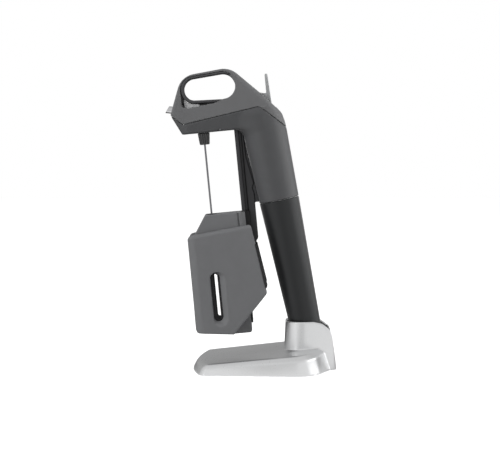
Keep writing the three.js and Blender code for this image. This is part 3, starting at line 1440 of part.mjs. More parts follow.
// The object: the stand, the dispenser in its leaning frame, and the gas side in the cup's frame
const stand = new THREE.Group();
stand.add(
  piece("base_shell", baseShell, SILVER),
  piece("socket_liner", socketLiner, RUBBER),
  piece("ballast_plate", ballastPlate, STEEL),
  piece("bottom_cover", bottomCover, BLACK),
  piece("non_slip_pad", slipPad, RUBBER),
  ...coverScrewPlaces.map(([x, y], i) =>
    piece(`cover_screw_${i + 1}`, screw(x, y, baseFloor, COVER_SCREW_LENGTH), STEEL),
  ),
);

const gasSide = new THREE.Group();
gasSide.add(
  piece("regulator_body", regulatorBody, BRASS),
  piece("piercing_pin", piercingPin, STEEL),
  piece("regulator_piston", regulatorPiston, BRASS),
  piece("regulator_spring", regulatorSpring, STEEL),
  piece("regulator_cap", regulatorCap, BRASS),
  piece("capsule_seal", capsuleSeal, RUBBER),
  piece("neck_collar", neckCollar, BLACK),
  piece("gas_capsule", gasCapsule, STEEL),
  piece("capsule_cup", capsuleCup, CUP_BLACK),
  piece("capsule_pad", capsulePad, RUBBER),
);
gasSide.applyMatrix4(cupFrame);

const dispenser = new THREE.Group();
dispenser.add(
  gasSide,
  piece("head_upper_shell", upperShell, HEAD_GREY),
  piece("head_lower_shell", lowerShell, LOWER_GREY),
  piece("grip_ring", gripRing, BLACK),
  piece("rail", rail, BLACK),
  piece("rail_pin", rodAlongX(RAIL_PIN_RADIUS, RAIL_PIN_HALF_LENGTH, railPinY, RAIL_PIN_Z), STEEL),
  piece("pour_spout", pourSpout, STEEL),
  piece("valve_block", valveBlock, LEVER_GREY),
  piece("push_rod", pushRod, STEEL),
  piece("valve_spring", valveSpring, STEEL),
  piece("gas_tube", gasTube, BLACK),
  piece("needle_socket", needleSocket, STEEL),
  piece("needle_seal", needleSeal, RUBBER),
  piece("needle", needle, STEEL),
  piece("needle_knob", needleKnob, GLOSS_BLACK),
  piece("trigger_lever", triggerLever, LEVER_GREY),
  piece("trigger_pin", triggerPin, STEEL),
  piece("clamp_frame", clampFrame, PADDLE_GREY),
  piece("needle_bush", needleBush, BLACK),
);
sides.forEach((side) => {
  const word = side > 0 ? "right" : "left";
  const shellScrew = screw(side * SHELL_SCREW_X, SHELL_SCREW_Y, HEAD_FLOOR, SHELL_SCREW_LENGTH);
  dispenser.add(
    piece(`shell_screw_${word}`, shellScrew, STEEL),
    piece(`hinge_pin_${word}`, onSide(hingePin, side), STEEL),
    piece(`clamp_spring_${word}`, onSide(clampSpring, side), STEEL),
    piece(`guide_strip_${word}`, onSide(guideStrip, side), RUBBER),
    piece(`clamp_paddle_${word}`, onSide(rightPaddle, side), PADDLE_GREY),
    piece(`paddle_pad_${word}`, onSide(rightPad, side), RUBBER),
    piece(`paddle_strip_${word}`, onSide(rightEdgeStrip, side), RUBBER),
  );
});
dispenser.applyMatrix4(deviceFrame);

const group = new THREE.Group();
group.add(stand, dispenser);
export default group;
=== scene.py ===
"""A wine preservation dispenser on its stand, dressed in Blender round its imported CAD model.

The frame is in metres: +Z up, the spout points to -Y, and the photograph looks along -X.
The stand is drawn in millimetres in that frame. The dispenser leans in the stand, so it is drawn
upright in a frame of its own, with the needle on its Z axis, and its cup in a third frame.
"""
from math import acos, atan2, cos, pi, radians, sin, tan

import bpy
import numpy as np
from mathutils import Matrix, Vector


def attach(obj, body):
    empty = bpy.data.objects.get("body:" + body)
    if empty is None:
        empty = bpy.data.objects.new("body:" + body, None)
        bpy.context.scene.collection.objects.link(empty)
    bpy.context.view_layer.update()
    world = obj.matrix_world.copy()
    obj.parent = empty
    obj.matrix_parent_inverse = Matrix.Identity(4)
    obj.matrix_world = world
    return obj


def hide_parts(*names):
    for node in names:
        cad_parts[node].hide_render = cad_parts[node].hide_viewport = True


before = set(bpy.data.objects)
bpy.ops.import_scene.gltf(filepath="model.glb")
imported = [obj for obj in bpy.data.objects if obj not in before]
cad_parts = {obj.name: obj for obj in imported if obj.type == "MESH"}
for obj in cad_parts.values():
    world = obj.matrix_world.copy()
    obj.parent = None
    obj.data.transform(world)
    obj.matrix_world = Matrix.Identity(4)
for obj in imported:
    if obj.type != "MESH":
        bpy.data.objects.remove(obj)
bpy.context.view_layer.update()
scene = bpy.context.scene

# Camera: level with the handle, a metre away on the right-hand side, and tipped down a little
# so that the picture's middle falls on the clamp.
CAMERA_PLACE = Vector((1.0, -0.0125, 0.184))
CAMERA_AIM = Vector((0, -0.0125, 0.1163))
CAMERA_LENS = 89.3

camera = bpy.data.objects.new("camera", bpy.data.cameras.new("camera"))
camera.data.lens = CAMERA_LENS
camera.data.clip_start = 0.01
camera.location = CAMERA_PLACE
camera.rotation_euler = (CAMERA_AIM - CAMERA_PLACE).to_track_quat("-Z", "Y").to_euler()
scene.collection.objects.link(camera)
scene.camera = camera

# Studio: a white table top and a white room, with soft lamps. Both are white in the picture. Polished
# surfaces see them dim on the piece's left and bright on its right, and the rest get a plain fill.
FLOOR_RADIUS = 3.0
FLOOR_SIDES = 96
ROOM_WHITE = 1.0
MIRROR_AXIS = (0.987, -0.052, -0.15)
ROOM_MIRRORED = ((0, 0.35), (0.25, 0.55), (0.5, 0.73), (1, 0.8))
FLOOR_MIRRORED = ((0, 0.04), (0.25, 0.1), (0.5, 0.38), (0.75, 0.95), (0.88, 1), (0.96, 0.95), (1, 0.62))
PIECE_LEVEL = 0.03
ROOM_FILL = 0.2
FLOOR_COLOUR = 0.35
FLOOR_ROUGHNESS = 0.9
FLOOR_GLOW = 0.93

scene.view_settings.view_transform = "Standard"


def nodes_of(material):
    """The node tree of a material or world, with its surface shader and output ready to wire"""
    material.use_nodes = True
    return material.node_tree.nodes, material.node_tree.links


def seen_by(nodes, links, *rays):
    """One where any of the named kinds of ray looks, and nought for the rest"""
    path = nodes.new("ShaderNodeLightPath")
    total = path.outputs[rays[0]]
    for ray in rays[1:]:
        either = nodes.new("ShaderNodeMath")
        either.operation = "MAXIMUM"
        links.new(total, either.inputs[0])
        links.new(path.outputs[ray], either.inputs[1])
        total = either.outputs[0]
    return total


def grey_choice(nodes, links, where, one, other):
    """A grey level that is one where the socket says so and the other elsewhere"""
    pick = nodes.new("ShaderNodeMix")
    pick.data_type = "FLOAT"
    links.new(where, pick.inputs[0])
    for socket, level in ((pick.inputs[2], other), (pick.inputs[3], one)):
        if isinstance(level, float):
            socket.default_value = level
        else:
            links.new(level, socket)
    return pick.outputs[0]


def mirrored_level(nodes, links, way, stops):
    """The grey a polished surface sees in a direction: dim to the piece's left, bright to its right"""
    direction = nodes.new("ShaderNodeVectorMath")
    direction.operation = "NORMALIZE"
    links.new(way, direction.inputs[0])
    towards = nodes.new("ShaderNodeVectorMath")
    towards.operation = "DOT_PRODUCT"
    links.new(direction.outputs["Vector"], towards.inputs[0])
    towards.inputs[1].default_value = MIRROR_AXIS
    share = nodes.new("ShaderNodeMapRange")
    share.inputs["From Min"].default_value = -1
    links.new(towards.outputs["Value"], share.inputs["Value"])
    ramp = nodes.new("ShaderNodeValToRGB")
    ramp.color_ramp.interpolation = "EASE"
    for place, level in stops[1:-1]:
        ramp.color_ramp.elements.new(place)
    for stop, (place, level) in zip(ramp.color_ramp.elements, stops):
        stop.position = place
        stop.color = (level, level, level, 1)
    links.new(share.outputs["Result"], ramp.inputs["Fac"])
    return ramp.outputs["Color"]


room = bpy.data.worlds.new("white_room")
scene.world = room
nodes, links = nodes_of(room)
background = nodes["Background"]
heading = nodes.new("ShaderNodeTexCoord").outputs["Generated"]
to_camera = seen_by(nodes, links, "Is Camera Ray")
level = mirrored_level(nodes, links, heading, ROOM_MIRRORED)
polished = grey_choice(nodes, links, to_camera, ROOM_WHITE, level)
looked_at = seen_by(nodes, links, "Is Camera Ray", "Is Glossy Ray", "Is Transmission Ray")
links.new(grey_choice(nodes, links, looked_at, polished, ROOM_FILL), background.inputs["Strength"])
background.inputs["Color"].default_value = (1, 1, 1, 1)

floor_points = [
    (FLOOR_RADIUS * cos(2 * pi * i / FLOOR_SIDES), FLOOR_RADIUS * sin(2 * pi * i / FLOOR_SIDES), 0)
    for i in range(FLOOR_SIDES)
]
floor_mesh = bpy.data.meshes.new("table_top")
floor_mesh.from_pydata(floor_points, [], [list(range(FLOOR_SIDES))])
floor = bpy.data.objects.new("table_top", floor_mesh)
scene.collection.objects.link(floor)
floor_white = bpy.data.materials.new("table_white")
nodes, links = nodes_of(floor_white)
paint = nodes["Principled BSDF"]
mirrored_by_piece = seen_by(nodes, links, "Is Glossy Ray", "Is Transmission Ray")
links.new(grey_choice(nodes, links, mirrored_by_piece, 0.0, FLOOR_COLOUR), paint.inputs["Base Color"])
paint.inputs["Roughness"].default_value = FLOOR_ROUGHNESS
paint.inputs["Specular IOR Level"].default_value = 0.0
paint.inputs["Emission Color"].default_value = (1, 1, 1, 1)
from_piece = nodes.new("ShaderNodeVectorMath")
from_piece.operation = "SUBTRACT"
from_piece.inputs[1].default_value = (0, 0, PIECE_LEVEL)
links.new(nodes.new("ShaderNodeTexCoord").outputs["Object"], from_piece.inputs[0])
level = mirrored_level(nodes, links, from_piece.outputs["Vector"], FLOOR_MIRRORED)
mirrored_glow = grey_choice(nodes, links, mirrored_by_piece, level, 0.0)
glow = grey_choice(nodes, links, seen_by(nodes, links, "Is Camera Ray"), FLOOR_GLOW, mirrored_glow)
links.new(glow, paint.inputs["Emission Strength"])
floor_mesh.materials.append(floor_white)


LAMP_AIM = (0, 0, 0.12)


def lamp(name, place, size, power, aim=LAMP_AIM, mirrored=True):
    """A soft square lamp at a place, turned to what it lights, and mirrored in polished pieces or not"""
    light = bpy.data.lights.new(name, "AREA")
    light.shape = "RECTANGLE"
    light.size, light.size_y = size
    light.energy = power
    holder = bpy.data.objects.new(name, light)
    holder.location = place
    holder.visible_glossy = mirrored
    holder.rotation_euler = (Vector(aim) - Vector(place)).to_track_quat("-Z", "Y").to_euler()
    scene.collection.objects.link(holder)


lamp("front_lamp", place=(0.8, -1.5, 0.9), size=(1.3, 1.3), power=30, mirrored=False)
lamp("near_lamp", place=(1.3, -0.9, 0.8), size=(0.8, 0.8), power=2, mirrored=False)
lamp("top_lamp", place=(0.1, 1.0, 1.0), size=(0.7, 0.7), power=9, mirrored=False)
lamp("side_lamp", place=(0.1, 1.25, 0.3), size=(1.0, 1.0), power=10, aim=(0, 0, 0.15), mirrored=False)
lamp("edge_lamp", place=(0, 1.2, 0.2), size=(1.2, 0.8), power=4, aim=(0, 0, 0.15))
lamp("far_lamp", place=(-1.2, -0.6, 0.8), size=(0.8, 0.8), power=3, mirrored=False)
lamp("strip_lamp", place=(0.7, -0.75, 0.12), size=(0.08, 0.2), power=0.15, aim=(0, 0, 0.1))

# Stand: a die-cast shoe with a satin silver finish. Its top slopes down to the front, its edge is
# bevelled, and a tower at the rear holds the cup; a cover and a pad close it underneath.
MM = 0.001
STAND = Matrix.Identity(4)
BASE_PLAN = [(37.0, -72), (43.95, 36.8, 22), (14.3, 52.2, 12)]
BASE_FLOOR = 0.45
BASE_WALL = 2.6
FRONT_BEVEL = 2.2
REAR_BEVEL = 3.8
BEVEL_EDGE = 0.7
FRONT_DRAFT = 0.02
REAR_DRAFT = 0.3
LEANS_FROM = 24
LEANS_FULLY = 50
BASE_FRONT = -58.5
BASE_BOW = 0.0042
BASE_FRONT_HEIGHT = 7.7
BASE_SLOPE = 0.1022
BASE_TOP_TILT = atan2(BASE_SLOPE, 1)
NOSE_FOOT = 0.5
NOSE_LEAN = radians(27)
NOSE_ROLL = 3
STAND_STEP = 0.8
STAND_BOX = ((-45, BASE_FRONT, 0), (45, 58, 40))
DIMPLE_Y = -25
DIMPLE_RADIUS = 17.5
DIMPLE_EDGE = 6
DIMPLE_DEPTH = 0.4
TOWER_PLAN = [(18.0, 14.4, 16.5), (13.4, 57.3, 5)]
TOWER_REAR = [(53.4, 28.2), (57.3, 0)]
TOWER_REAR_ROUNDS = (3, 0.5)
TOWER_TOP = [(16.6, 39.3, 0.8), (38.6, 39.5, 5), (45.6, 37.9, 8), (52.3, 32.6, 2.2)]
TOWER_FOOT = [(57.3, -5), (14.4, -5)]
POCKET_TOP = [(16.6, 39.3), (16.6, 60), (52.3, 60), (52.3, 32.6)]
TOWER_WALL = 1.5
TOWER_RIM = 0.6
TOWER_FILLET = 0.9
SOCKET_FLOOR = 11.4
COLUMN_FLOOR = 9.6
COVER_SCREW_X = 28
COVER_SCREW_ROWS = (-34, 38)
COVER_SCREW_TOP = 7.0
BOSS_RADIUS = 3
BOSS_BORE = 1.1
ARC_STEPS = 14


def rounded(corners, closed=True):
    """Points of an outline. A corner is (u, v) or (u, v, radius), rounded with a true arc"""
    points = []
    for i, (u, v, *radius) in enumerate(corners):
        corner = np.array((u, v), float)
        if not radius or (not closed and i in (0, len(corners) - 1)):
            points.append(corner)
            continue
        before = np.array(corners[i - 1][:2]) - corner
        after = np.array(corners[(i + 1) % len(corners)][:2]) - corner
        before /= np.linalg.norm(before)
        after /= np.linalg.norm(after)
        half = acos(np.clip(before @ after, -1, 1)) / 2
        middle = (before + after) / np.linalg.norm(before + after)
        centre = corner + middle * radius[0] / sin(half)
        touching = (corner + side * radius[0] / tan(half) - centre for side in (before, after))
        start, end = (atan2(*point[::-1]) for point in touching)
        sweep = (end - start + pi) % (2 * pi) - pi
        points += [
            centre + radius[0] * np.array((cos(start + sweep * share), sin(start + sweep * share)))
            for share in np.linspace(0, 1, ARC_STEPS + 1)
        ]
    return np.array(points)


def mirrored(half):
    """The corners of a half outline on +X, with their mirror images"""
    return [*half, *((-u, *rest) for u, *rest in reversed(half))]


def outside(u, v, outline):
    """How far each point is outside a closed outline, and less than nought inside it"""
    u, v = np.broadcast_arrays(u, v)
    nearest = np.full(u.shape, np.inf)
    within = np.zeros(u.shape, bool)
    for (u0, v0), (u1, v1) in zip(outline, np.roll(outline, -1, axis=0)):
        du, dv = u1 - u0, v1 - v0
        along = np.clip(((u - u0) * du + (v - v0) * dv) / (du * du + dv * dv), 0, 1)
        nearest = np.minimum(nearest, (u - u0 - along * du) ** 2 + (v - v0 - along * dv) ** 2)
        if dv:
            within ^= ((v0 > v) != (v1 > v)) & (u - u0 < (v - v0) * du / dv)
    return np.where(within, -1, 1) * np.sqrt(nearest)


def meet(a, b, radius):
    """The form where both hold, with the edge between them rounded to a radius"""
    return np.minimum(np.maximum(a, b), -radius) + np.hypot(
        np.maximum(a + radius, 0), np.maximum(b + radius, 0)
    )


def merge(a, b, radius):
    """The two forms together, with a fillet of that radius where they join"""
    return -meet(-a, -b, radius)


def without(a, b, radius=0.0):
    """The first form with the second cut away, and the cut's edge rounded"""
    return meet(a, -b, radius)


def ease(value, start, end):
    """Nought before start, one after end, and a smooth rise between"""
    share = np.clip((value - start) / (end - start), 0, 1)
    return share * share * (3 - 2 * share)


def placed(name, points, faces, place):
    """A mesh object from points in millimetres, set in the metre frame"""
    across = np.array(place.to_3x3())
    points = (np.asarray(points) @ across.T + np.array(place.translation)) * MM
    mesh = bpy.data.meshes.new(name)
    mesh.from_pydata(points.tolist(), [], [list(face) for face in faces])
    mesh.validate()
    made = bpy.data.objects.new(name, mesh)
    scene.collection.objects.link(made)
    return made


def skin(form, box, step):
    """Points and faces of the closed skin on which a form's value is nought"""
    sides = [np.arange(a - 2 * step, b + 2 * step, step) for a, b in zip(*box)]
    grid = np.meshgrid(*sides, indexing="ij", sparse=True)
    value = np.broadcast_to(form(*grid), [len(side) for side in sides])
    cells = np.array(value.shape) - 1
    total = np.zeros((cells.prod(), 3))
    count = np.zeros(cells.prod())
    quads = []
    for axis in range(3):
        others = [k for k in range(3) if k != axis]
        first = value[tuple(slice(None, -1) if k == axis else slice(None) for k in range(3))]
        second = value[tuple(slice(1, None) if k == axis else slice(None) for k in range(3))]
        edge = np.array(np.nonzero((first < 0) != (second < 0))).T
        a, b = first[tuple(edge.T)], second[tuple(edge.T)]
        crossing = edge.astype(float)
        crossing[:, axis] += a / (a - b)
        corners = []
        for back in ((0, 0), (1, 0), (1, 1), (0, 1)):
            cell = edge.copy()
            cell[:, others] -= back
            flat = np.ravel_multi_index(cell.T, cells)
            np.add.at(total, flat, crossing)
            np.add.at(count, flat, 1)
            corners.append(flat)
        quad = np.array(corners).T
        turn = (a < 0) != (axis == 1)
        quad[turn] = quad[turn][:, ::-1]
        quads.append(quad)
    used = np.nonzero(count)[0]
    points = total[used] / count[used, None] * step + [side[0] for side in sides]
    number = np.full(len(count), -1)
    number[used] = np.arange(len(used))
    return settled(form, points, step), number[np.concatenate(quads)]


def settled(form, points, step, rounds=2, nudge=0.02, least_slope=0.5):
    """Moves points onto the skin of a form, down its slope"""
    for _ in range(rounds):
        x, y, z = points.T
        value = form(x, y, z)
        beside = (form(x + nudge, y, z), form(x, y + nudge, z), form(x, y, z + nudge))
        slope = (np.stack(beside, axis=1) - value[:, None]) / nudge
        move = value[:, None] * slope / np.maximum((slope**2).sum(1), least_slope**2)[:, None]
        points = points - np.clip(move, -step / 2, step / 2)
    return points


def sculpted(name, form, box, step, place):
    """A smooth piece from a form, drawn inside a box whose two corners are in millimetres"""
    made = placed(name, *skin(form, box, step), place)
    made.data.shade_smooth()
    return made


base_plan = rounded(mirrored(BASE_PLAN))
tower_plan = rounded(mirrored(TOWER_PLAN))
tower_rear = [(*corner, radius) for corner, radius in zip(TOWER_REAR, TOWER_REAR_ROUNDS)]
tower_side = rounded([*TOWER_TOP, *tower_rear, *TOWER_FOOT])
pocket_side = rounded([*POCKET_TOP, *TOWER_REAR, *TOWER_FOOT])


def bow(x, y):
    """How far a point is ahead of the shoe's front, which bows forward"""
    return (BASE_FRONT + BASE_BOW * x * x - y) / np.hypot(1, 2 * BASE_BOW * x)


def base_block(x, y, z, wall=0.0):
    """The shoe's outer form, or a smaller one inside its wall"""
    dimple = 1 - ease(np.hypot(x, y - DIMPLE_Y), DIMPLE_RADIUS - DIMPLE_EDGE, DIMPLE_RADIUS)
    top = (z - BASE_FRONT_HEIGHT - BASE_SLOPE * (y - BASE_FRONT)) * cos(BASE_TOP_TILT)
    top = top + DIMPLE_DEPTH * dimple
    draft = FRONT_DRAFT + (REAR_DRAFT - FRONT_DRAFT) * ease(y, LEANS_FROM, LEANS_FULLY)
    flank = outside(x, y, base_plan) + draft * z
    nose = bow(x, y) * cos(NOSE_LEAN) + (z - NOSE_FOOT) * sin(NOSE_LEAN)
    lid = meet(top, np.maximum(nose, bow(x, y)), NOSE_ROLL)
    bevel = FRONT_BEVEL + (REAR_BEVEL - FRONT_BEVEL) * ease(y, BASE_FRONT, LEANS_FROM)
    return meet(np.maximum(flank, lid), (flank + lid + bevel) * 0.5**0.5, BEVEL_EDGE) + wall


def tower_block(x, y, z, lift=0.0):
    """The tower's outer form"""
    return meet(outside(y, z - lift, tower_side), outside(x, y, tower_plan), TOWER_RIM)


def pocket(x, y, z, gap=0.0):
    """The socket inside the tower, open at the top"""
    inside = np.maximum(outside(y, z, pocket_side), outside(x, y, tower_plan)) + TOWER_WALL + gap
    return np.maximum(inside, SOCKET_FLOOR + gap - z)


def stand_shell(x, y, z):
    """Shoe and tower in one casting, hollow underneath"""
    column = np.maximum(outside(x, y, tower_plan), COLUMN_FLOOR - z)
    room_below = without(base_block(x, y, z, BASE_WALL), column)
    for side in (-1, 1):
        for row in COVER_SCREW_ROWS:
            boss = np.hypot(x - side * COVER_SCREW_X, y - row)
            room_below = without(room_below, boss - BOSS_RADIUS)
            room_below = np.minimum(room_below, np.maximum(boss - BOSS_BORE, z - COVER_SCREW_TOP))
    body = merge(base_block(x, y, z), tower_block(x, y, z), TOWER_FILLET)
    body = without(body, pocket(x, y, z), TOWER_RIM)
    return np.maximum(without(body, room_below), BASE_FLOOR - z)


stand = sculpted("stand_casting", stand_shell, STAND_BOX, STAND_STEP, STAND)

SHEEN_ROUGHNESS = 0.35
PATCH_SCALE = 0.04
NOISE_BAND = (0.3, 0.7)
PATCH_DETAIL = 4
GRAIN_DETAIL = 3
GLOSS_SPREAD = 0.1
GRAIN_DEPTH = 0.0001


def finish(
    name, colour, roughness, metallic=0.0, mottle=0.05, grain=0.0006, relief=0.05, specular=0.5, sheen=0.0
):
    """A procedural finish: a base colour that varies a little, with a fine grain in it and in its gloss"""
    made = bpy.data.materials.new(name)
    nodes, links = nodes_of(made)
    surface = nodes["Principled BSDF"]
    surface.inputs["Metallic"].default_value = metallic
    surface.inputs["Specular IOR Level"].default_value = specular
    surface.inputs["Sheen Weight"].default_value = sheen
    surface.inputs["Sheen Roughness"].default_value = SHEEN_ROUGHNESS
    where = nodes.new("ShaderNodeTexCoord")
    cloud = nodes.new("ShaderNodeTexNoise")
    cloud.inputs["Scale"].default_value = PATCH_SCALE / grain
    cloud.inputs["Detail"].default_value = PATCH_DETAIL
    fine = nodes.new("ShaderNodeTexNoise")
    fine.inputs["Scale"].default_value = 1 / grain
    fine.inputs["Detail"].default_value = GRAIN_DETAIL
    for noise in (cloud, fine):
        links.new(where.outputs["Object"], noise.inputs["Vector"])
    shade = nodes.new("ShaderNodeValToRGB")
    for stop, place, level in zip(shade.color_ramp.elements, NOISE_BAND, (1 - mottle, 1 + mottle)):
        stop.position = place
        stop.color = (*(min(c * level, 1) for c in colour), 1)
    links.new(cloud.outputs["Fac"], shade.inputs["Fac"])
    links.new(shade.outputs["Color"], surface.inputs["Base Color"])
    gloss = nodes.new("ShaderNodeMapRange")
    gloss.inputs["From Min"].default_value = NOISE_BAND[0]
    gloss.inputs["From Max"].default_value = NOISE_BAND[1]
    gloss.inputs["To Min"].default_value = roughness * (1 - GLOSS_SPREAD)
    gloss.inputs["To Max"].default_value = min(roughness * (1 + GLOSS_SPREAD), 1)
    links.new(fine.outputs["Fac"], gloss.inputs["Value"])
    links.new(gloss.outputs["Result"], surface.inputs["Roughness"])
    bump = nodes.new("ShaderNodeBump")
    bump.inputs["Strength"].default_value = relief
    bump.inputs["Distance"].default_value = GRAIN_DEPTH
    links.new(fine.outputs["Fac"], bump.inputs["Height"])
    links.new(bump.outputs["Normal"], surface.inputs["Normal"])
    return made


def dress(piece, material, body=None, stands_for=()):
    """Gives a piece its finish, hangs it on the body it rides on, and hides the nodes it stands for"""
    piece.data.materials.clear()
    piece.data.materials.append(material)
    if body:
        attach(piece, body)
        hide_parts(*stands_for)


silver = finish(
    "satin_silver", (0.73, 0.735, 0.74), 0.3, metallic=0.92, mottle=0.012, grain=0.0006, relief=0.004
)
dress(stand, silver, "stand", ["base_shell"])

# Socket liner: a soft black rubber moulding pushed into the tower. It has a tapered seat in which
# the cup stands with a little room round it.
LINER_RECESS = 1.6
LINER_GAP = 0.25
LINER_STEP = 0.7
LINER_BOX = ((-18, 14, 10), (18, 58, 40))
SEAT_EDGE = 0.4
CUP_CLEARANCE = 0.35
CUP_TRAVEL = 5.6
CUP_LENGTH = 118
CUP_TOP_RADIUS = 16.1
CUP_FOOT_RADIUS = 12.1
CUP_TAPER = (CUP_TOP_RADIUS - CUP_FOOT_RADIUS) / CUP_LENGTH
DEVICE_LEAN = radians(5.5)
CUP_LEAN = radians(6.4)
NEEDLE_Y = -49.9
HEAD_LEVEL = 192.1
CUP_BEHIND = 55.3
JOINT_LEVEL = -60.5

DISPENSER = Matrix.Translation((0, NEEDLE_Y, HEAD_LEVEL)) @ Matrix.Rotation(DEVICE_LEAN, 4, "X")
GAS_SIDE = Matrix.Translation((0, CUP_BEHIND, JOINT_LEVEL)) @ Matrix.Rotation(CUP_LEAN, 4, "X")
CUP = DISPENSER @ GAS_SIDE


def cup_way(y, z, from_frame):
    """Distances beside and along the cup's axis, from a frame's own front-to-back and height"""
    turn = np.array((from_frame.inverted() @ CUP).to_3x3())[1:, 1:]
    start = (from_frame.inverted() @ CUP).translation
    beside = (y - start.y) * turn[0, 0] + (z - start.z) * turn[1, 0]
    along = (y - start.y) * turn[0, 1] + (z - start.z) * turn[1, 1]
    return beside, along


def cup_space(x, y, z):
    """Where the cup stands, with a little room round it and below it"""
    beside, along = cup_way(y, z, STAND)
    radius = CUP_TOP_RADIUS + CUP_TAPER * np.maximum(along, -CUP_LENGTH) + CUP_CLEARANCE
    return np.maximum(np.hypot(x, beside) - radius, -CUP_LENGTH - CUP_TRAVEL - along)


def liner(x, y, z):
    """The pocket's form, cut off a little below the tower's rim, with the cup's space cut out"""
    rim = tower_block(x, y, z, -LINER_RECESS)
    return without(np.maximum(pocket(x, y, z, LINER_GAP), rim), cup_space(x, y, z), SEAT_EDGE)


socket = sculpted("cup_seat", liner, LINER_BOX, LINER_STEP, STAND)
rubber = finish("black_rubber", (0.014, 0.014, 0.015), 0.75, grain=0.0005, relief=0.2)
dress(socket, rubber, "stand", ["socket_liner"])

# Stand's underside: a steel ballast plate, a moulded cover held by four screws in recesses, and a
# rubber pad stuck under them, on which the stand rests.
SLIP_PAD_HEIGHT = 1.2
SLIP_PAD_INSET = 4
SLIP_PAD_STEP = 0.6
SLIP_PAD_BOX = ((-41, -55.5, 0), (41, 52, SLIP_PAD_HEIGHT))
COVER_INSET = 3
COVER_FOOT = 1.5
COVER_TOP = 3.1
COVER_STEP = 0.5
COVER_BOX = ((-41, BASE_FRONT, 1), (41, 52, 3.5))
FOOT_EDGE = 0.3
COVER_HOLE = 1.1
HEAD_HOLE = 2.0
HEAD_SEAT = 2.7


def shoe_plan(x, y):
    """How far a point is outside the shoe's outline on the table"""
    return np.maximum(outside(x, y, base_plan), bow(x, y))


def slip_pad(x, y, z):
    """A flat pad under the shoe, set in from its edge"""
    faces = np.abs(z - SLIP_PAD_HEIGHT / 2) - SLIP_PAD_HEIGHT / 2
    return meet(shoe_plan(x, y) + SLIP_PAD_INSET, faces, FOOT_EDGE)


def foot_cover(x, y, z):
    """A flat cover inside the shoe's foot, with the screws' holes"""
    middle = (COVER_FOOT + COVER_TOP) / 2
    plate = meet(shoe_plan(x, y) + COVER_INSET, np.abs(z - middle) - COVER_TOP + middle, FOOT_EDGE)
    for side in (-1, 1):
        for row in COVER_SCREW_ROWS:
            off = np.hypot(x - side * COVER_SCREW_X, y - row)
            plate = without(plate, np.minimum(off - COVER_HOLE, np.maximum(off - HEAD_HOLE, z - HEAD_SEAT)))
    return plate


pad = sculpted("slip_pad", slip_pad, SLIP_PAD_BOX, SLIP_PAD_STEP, STAND)
dress(pad, rubber, "stand", ["non_slip_pad"])

plain_black = finish("moulded_black", (0.013, 0.013, 0.014), 0.5, grain=0.0004, relief=0.06, specular=0.25)
steel = finish("bright_steel", (0.58, 0.585, 0.59), 0.2, metallic=1.0, mottle=0.03, grain=0.0005, relief=0.02)


SHARP_FROM = radians(35)


def kept(name, material):
    """A node that keeps its own shape, with its finish and with its round faces smooth"""
    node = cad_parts[name]
    node.data.materials.clear()
    node.data.materials.append(material)
    node.data.shade_smooth()
    node.data.set_sharp_from_angle(angle=SHARP_FROM)


cover = sculpted("foot_cover", foot_cover, COVER_BOX, COVER_STEP, STAND)
dress(cover, plain_black, "stand", ["bottom_cover"])
kept("ballast_plate", steel)
for number in range(1, 5):
    kept(f"cover_screw_{number}", steel)

# Gas side: a threaded collar in the arm's foot, and inside it the regulator with its piercing pin,
# piston, spring and cap, in turned brass and steel, and the capsule with its seal and pad.
brass = finish("turned_brass", (0.52, 0.4, 0.18), 0.3, metallic=1.0, mottle=0.04, grain=0.0006, relief=0.04)
collar_metal = finish("turned_alloy", (0.3, 0.3, 0.31), 0.3, metallic=1.0, mottle=0.03, relief=0.04)
for name in ("regulator_body", "regulator_piston", "regulator_cap"):
    kept(name, brass)
for name in ("piercing_pin", "regulator_spring", "gas_capsule"):
    kept(name, steel)
for name in ("capsule_seal", "capsule_pad"):
    kept(name, rubber)
kept("neck_collar", collar_metal)

# Cup: an aluminium tube that tapers to its foot, satin black, and unscrews to change the capsule.
# Its mouth is wide enough for the collar, and its edges are broken with small chamfers.
CUP_FOOT_CHAMFER = 1.6
CUP_FOOT_ROUND = 0.5
CUP_SIDE_ROUND = 0.8
CUP_MOUTH_CHAMFER = 0.5
CUP_MOUTH_ROUND = 0.3
CUP_WALL = 3.2
CUP_THREAD_DEPTH = 11
CUP_BORE = 10.5
CUP_FLOOR = 3
CUP_MOUTH = -0.35
TURNED_SIDES = 128


def cup_radius(along):
    """The cup's radius at a height below its joint with the arm"""
    return CUP_TOP_RADIUS + CUP_TAPER * along


def turned(name, profile, place, sides=TURNED_SIDES):
    """A turned piece: its profile of (radius, height) points goes round the axis of its frame"""
    points, rings, faces = [], [], []
    for radius, height in profile:
        count = sides if radius > 0 else 1
        rings.append([len(points) + i % count for i in range(sides)])
        for i in range(count):
            angle = 2 * pi * i / sides
            points.append((radius * cos(angle), radius * sin(angle), height))
    closed = profile[0][0] > 0
    for lower, upper in zip(rings if closed else rings[:-1], rings[1:] + rings[:1]):
        for i in range(sides):
            face = (lower[i], lower[i - 1], upper[i - 1], upper[i])
            faces.append(list(dict.fromkeys(face)))
    made = placed(name, points, [face for face in faces if len(face) > 2], place)
    made.data.shade_smooth()
    made.data.set_sharp_from_angle(angle=SHARP_FROM)
    return made


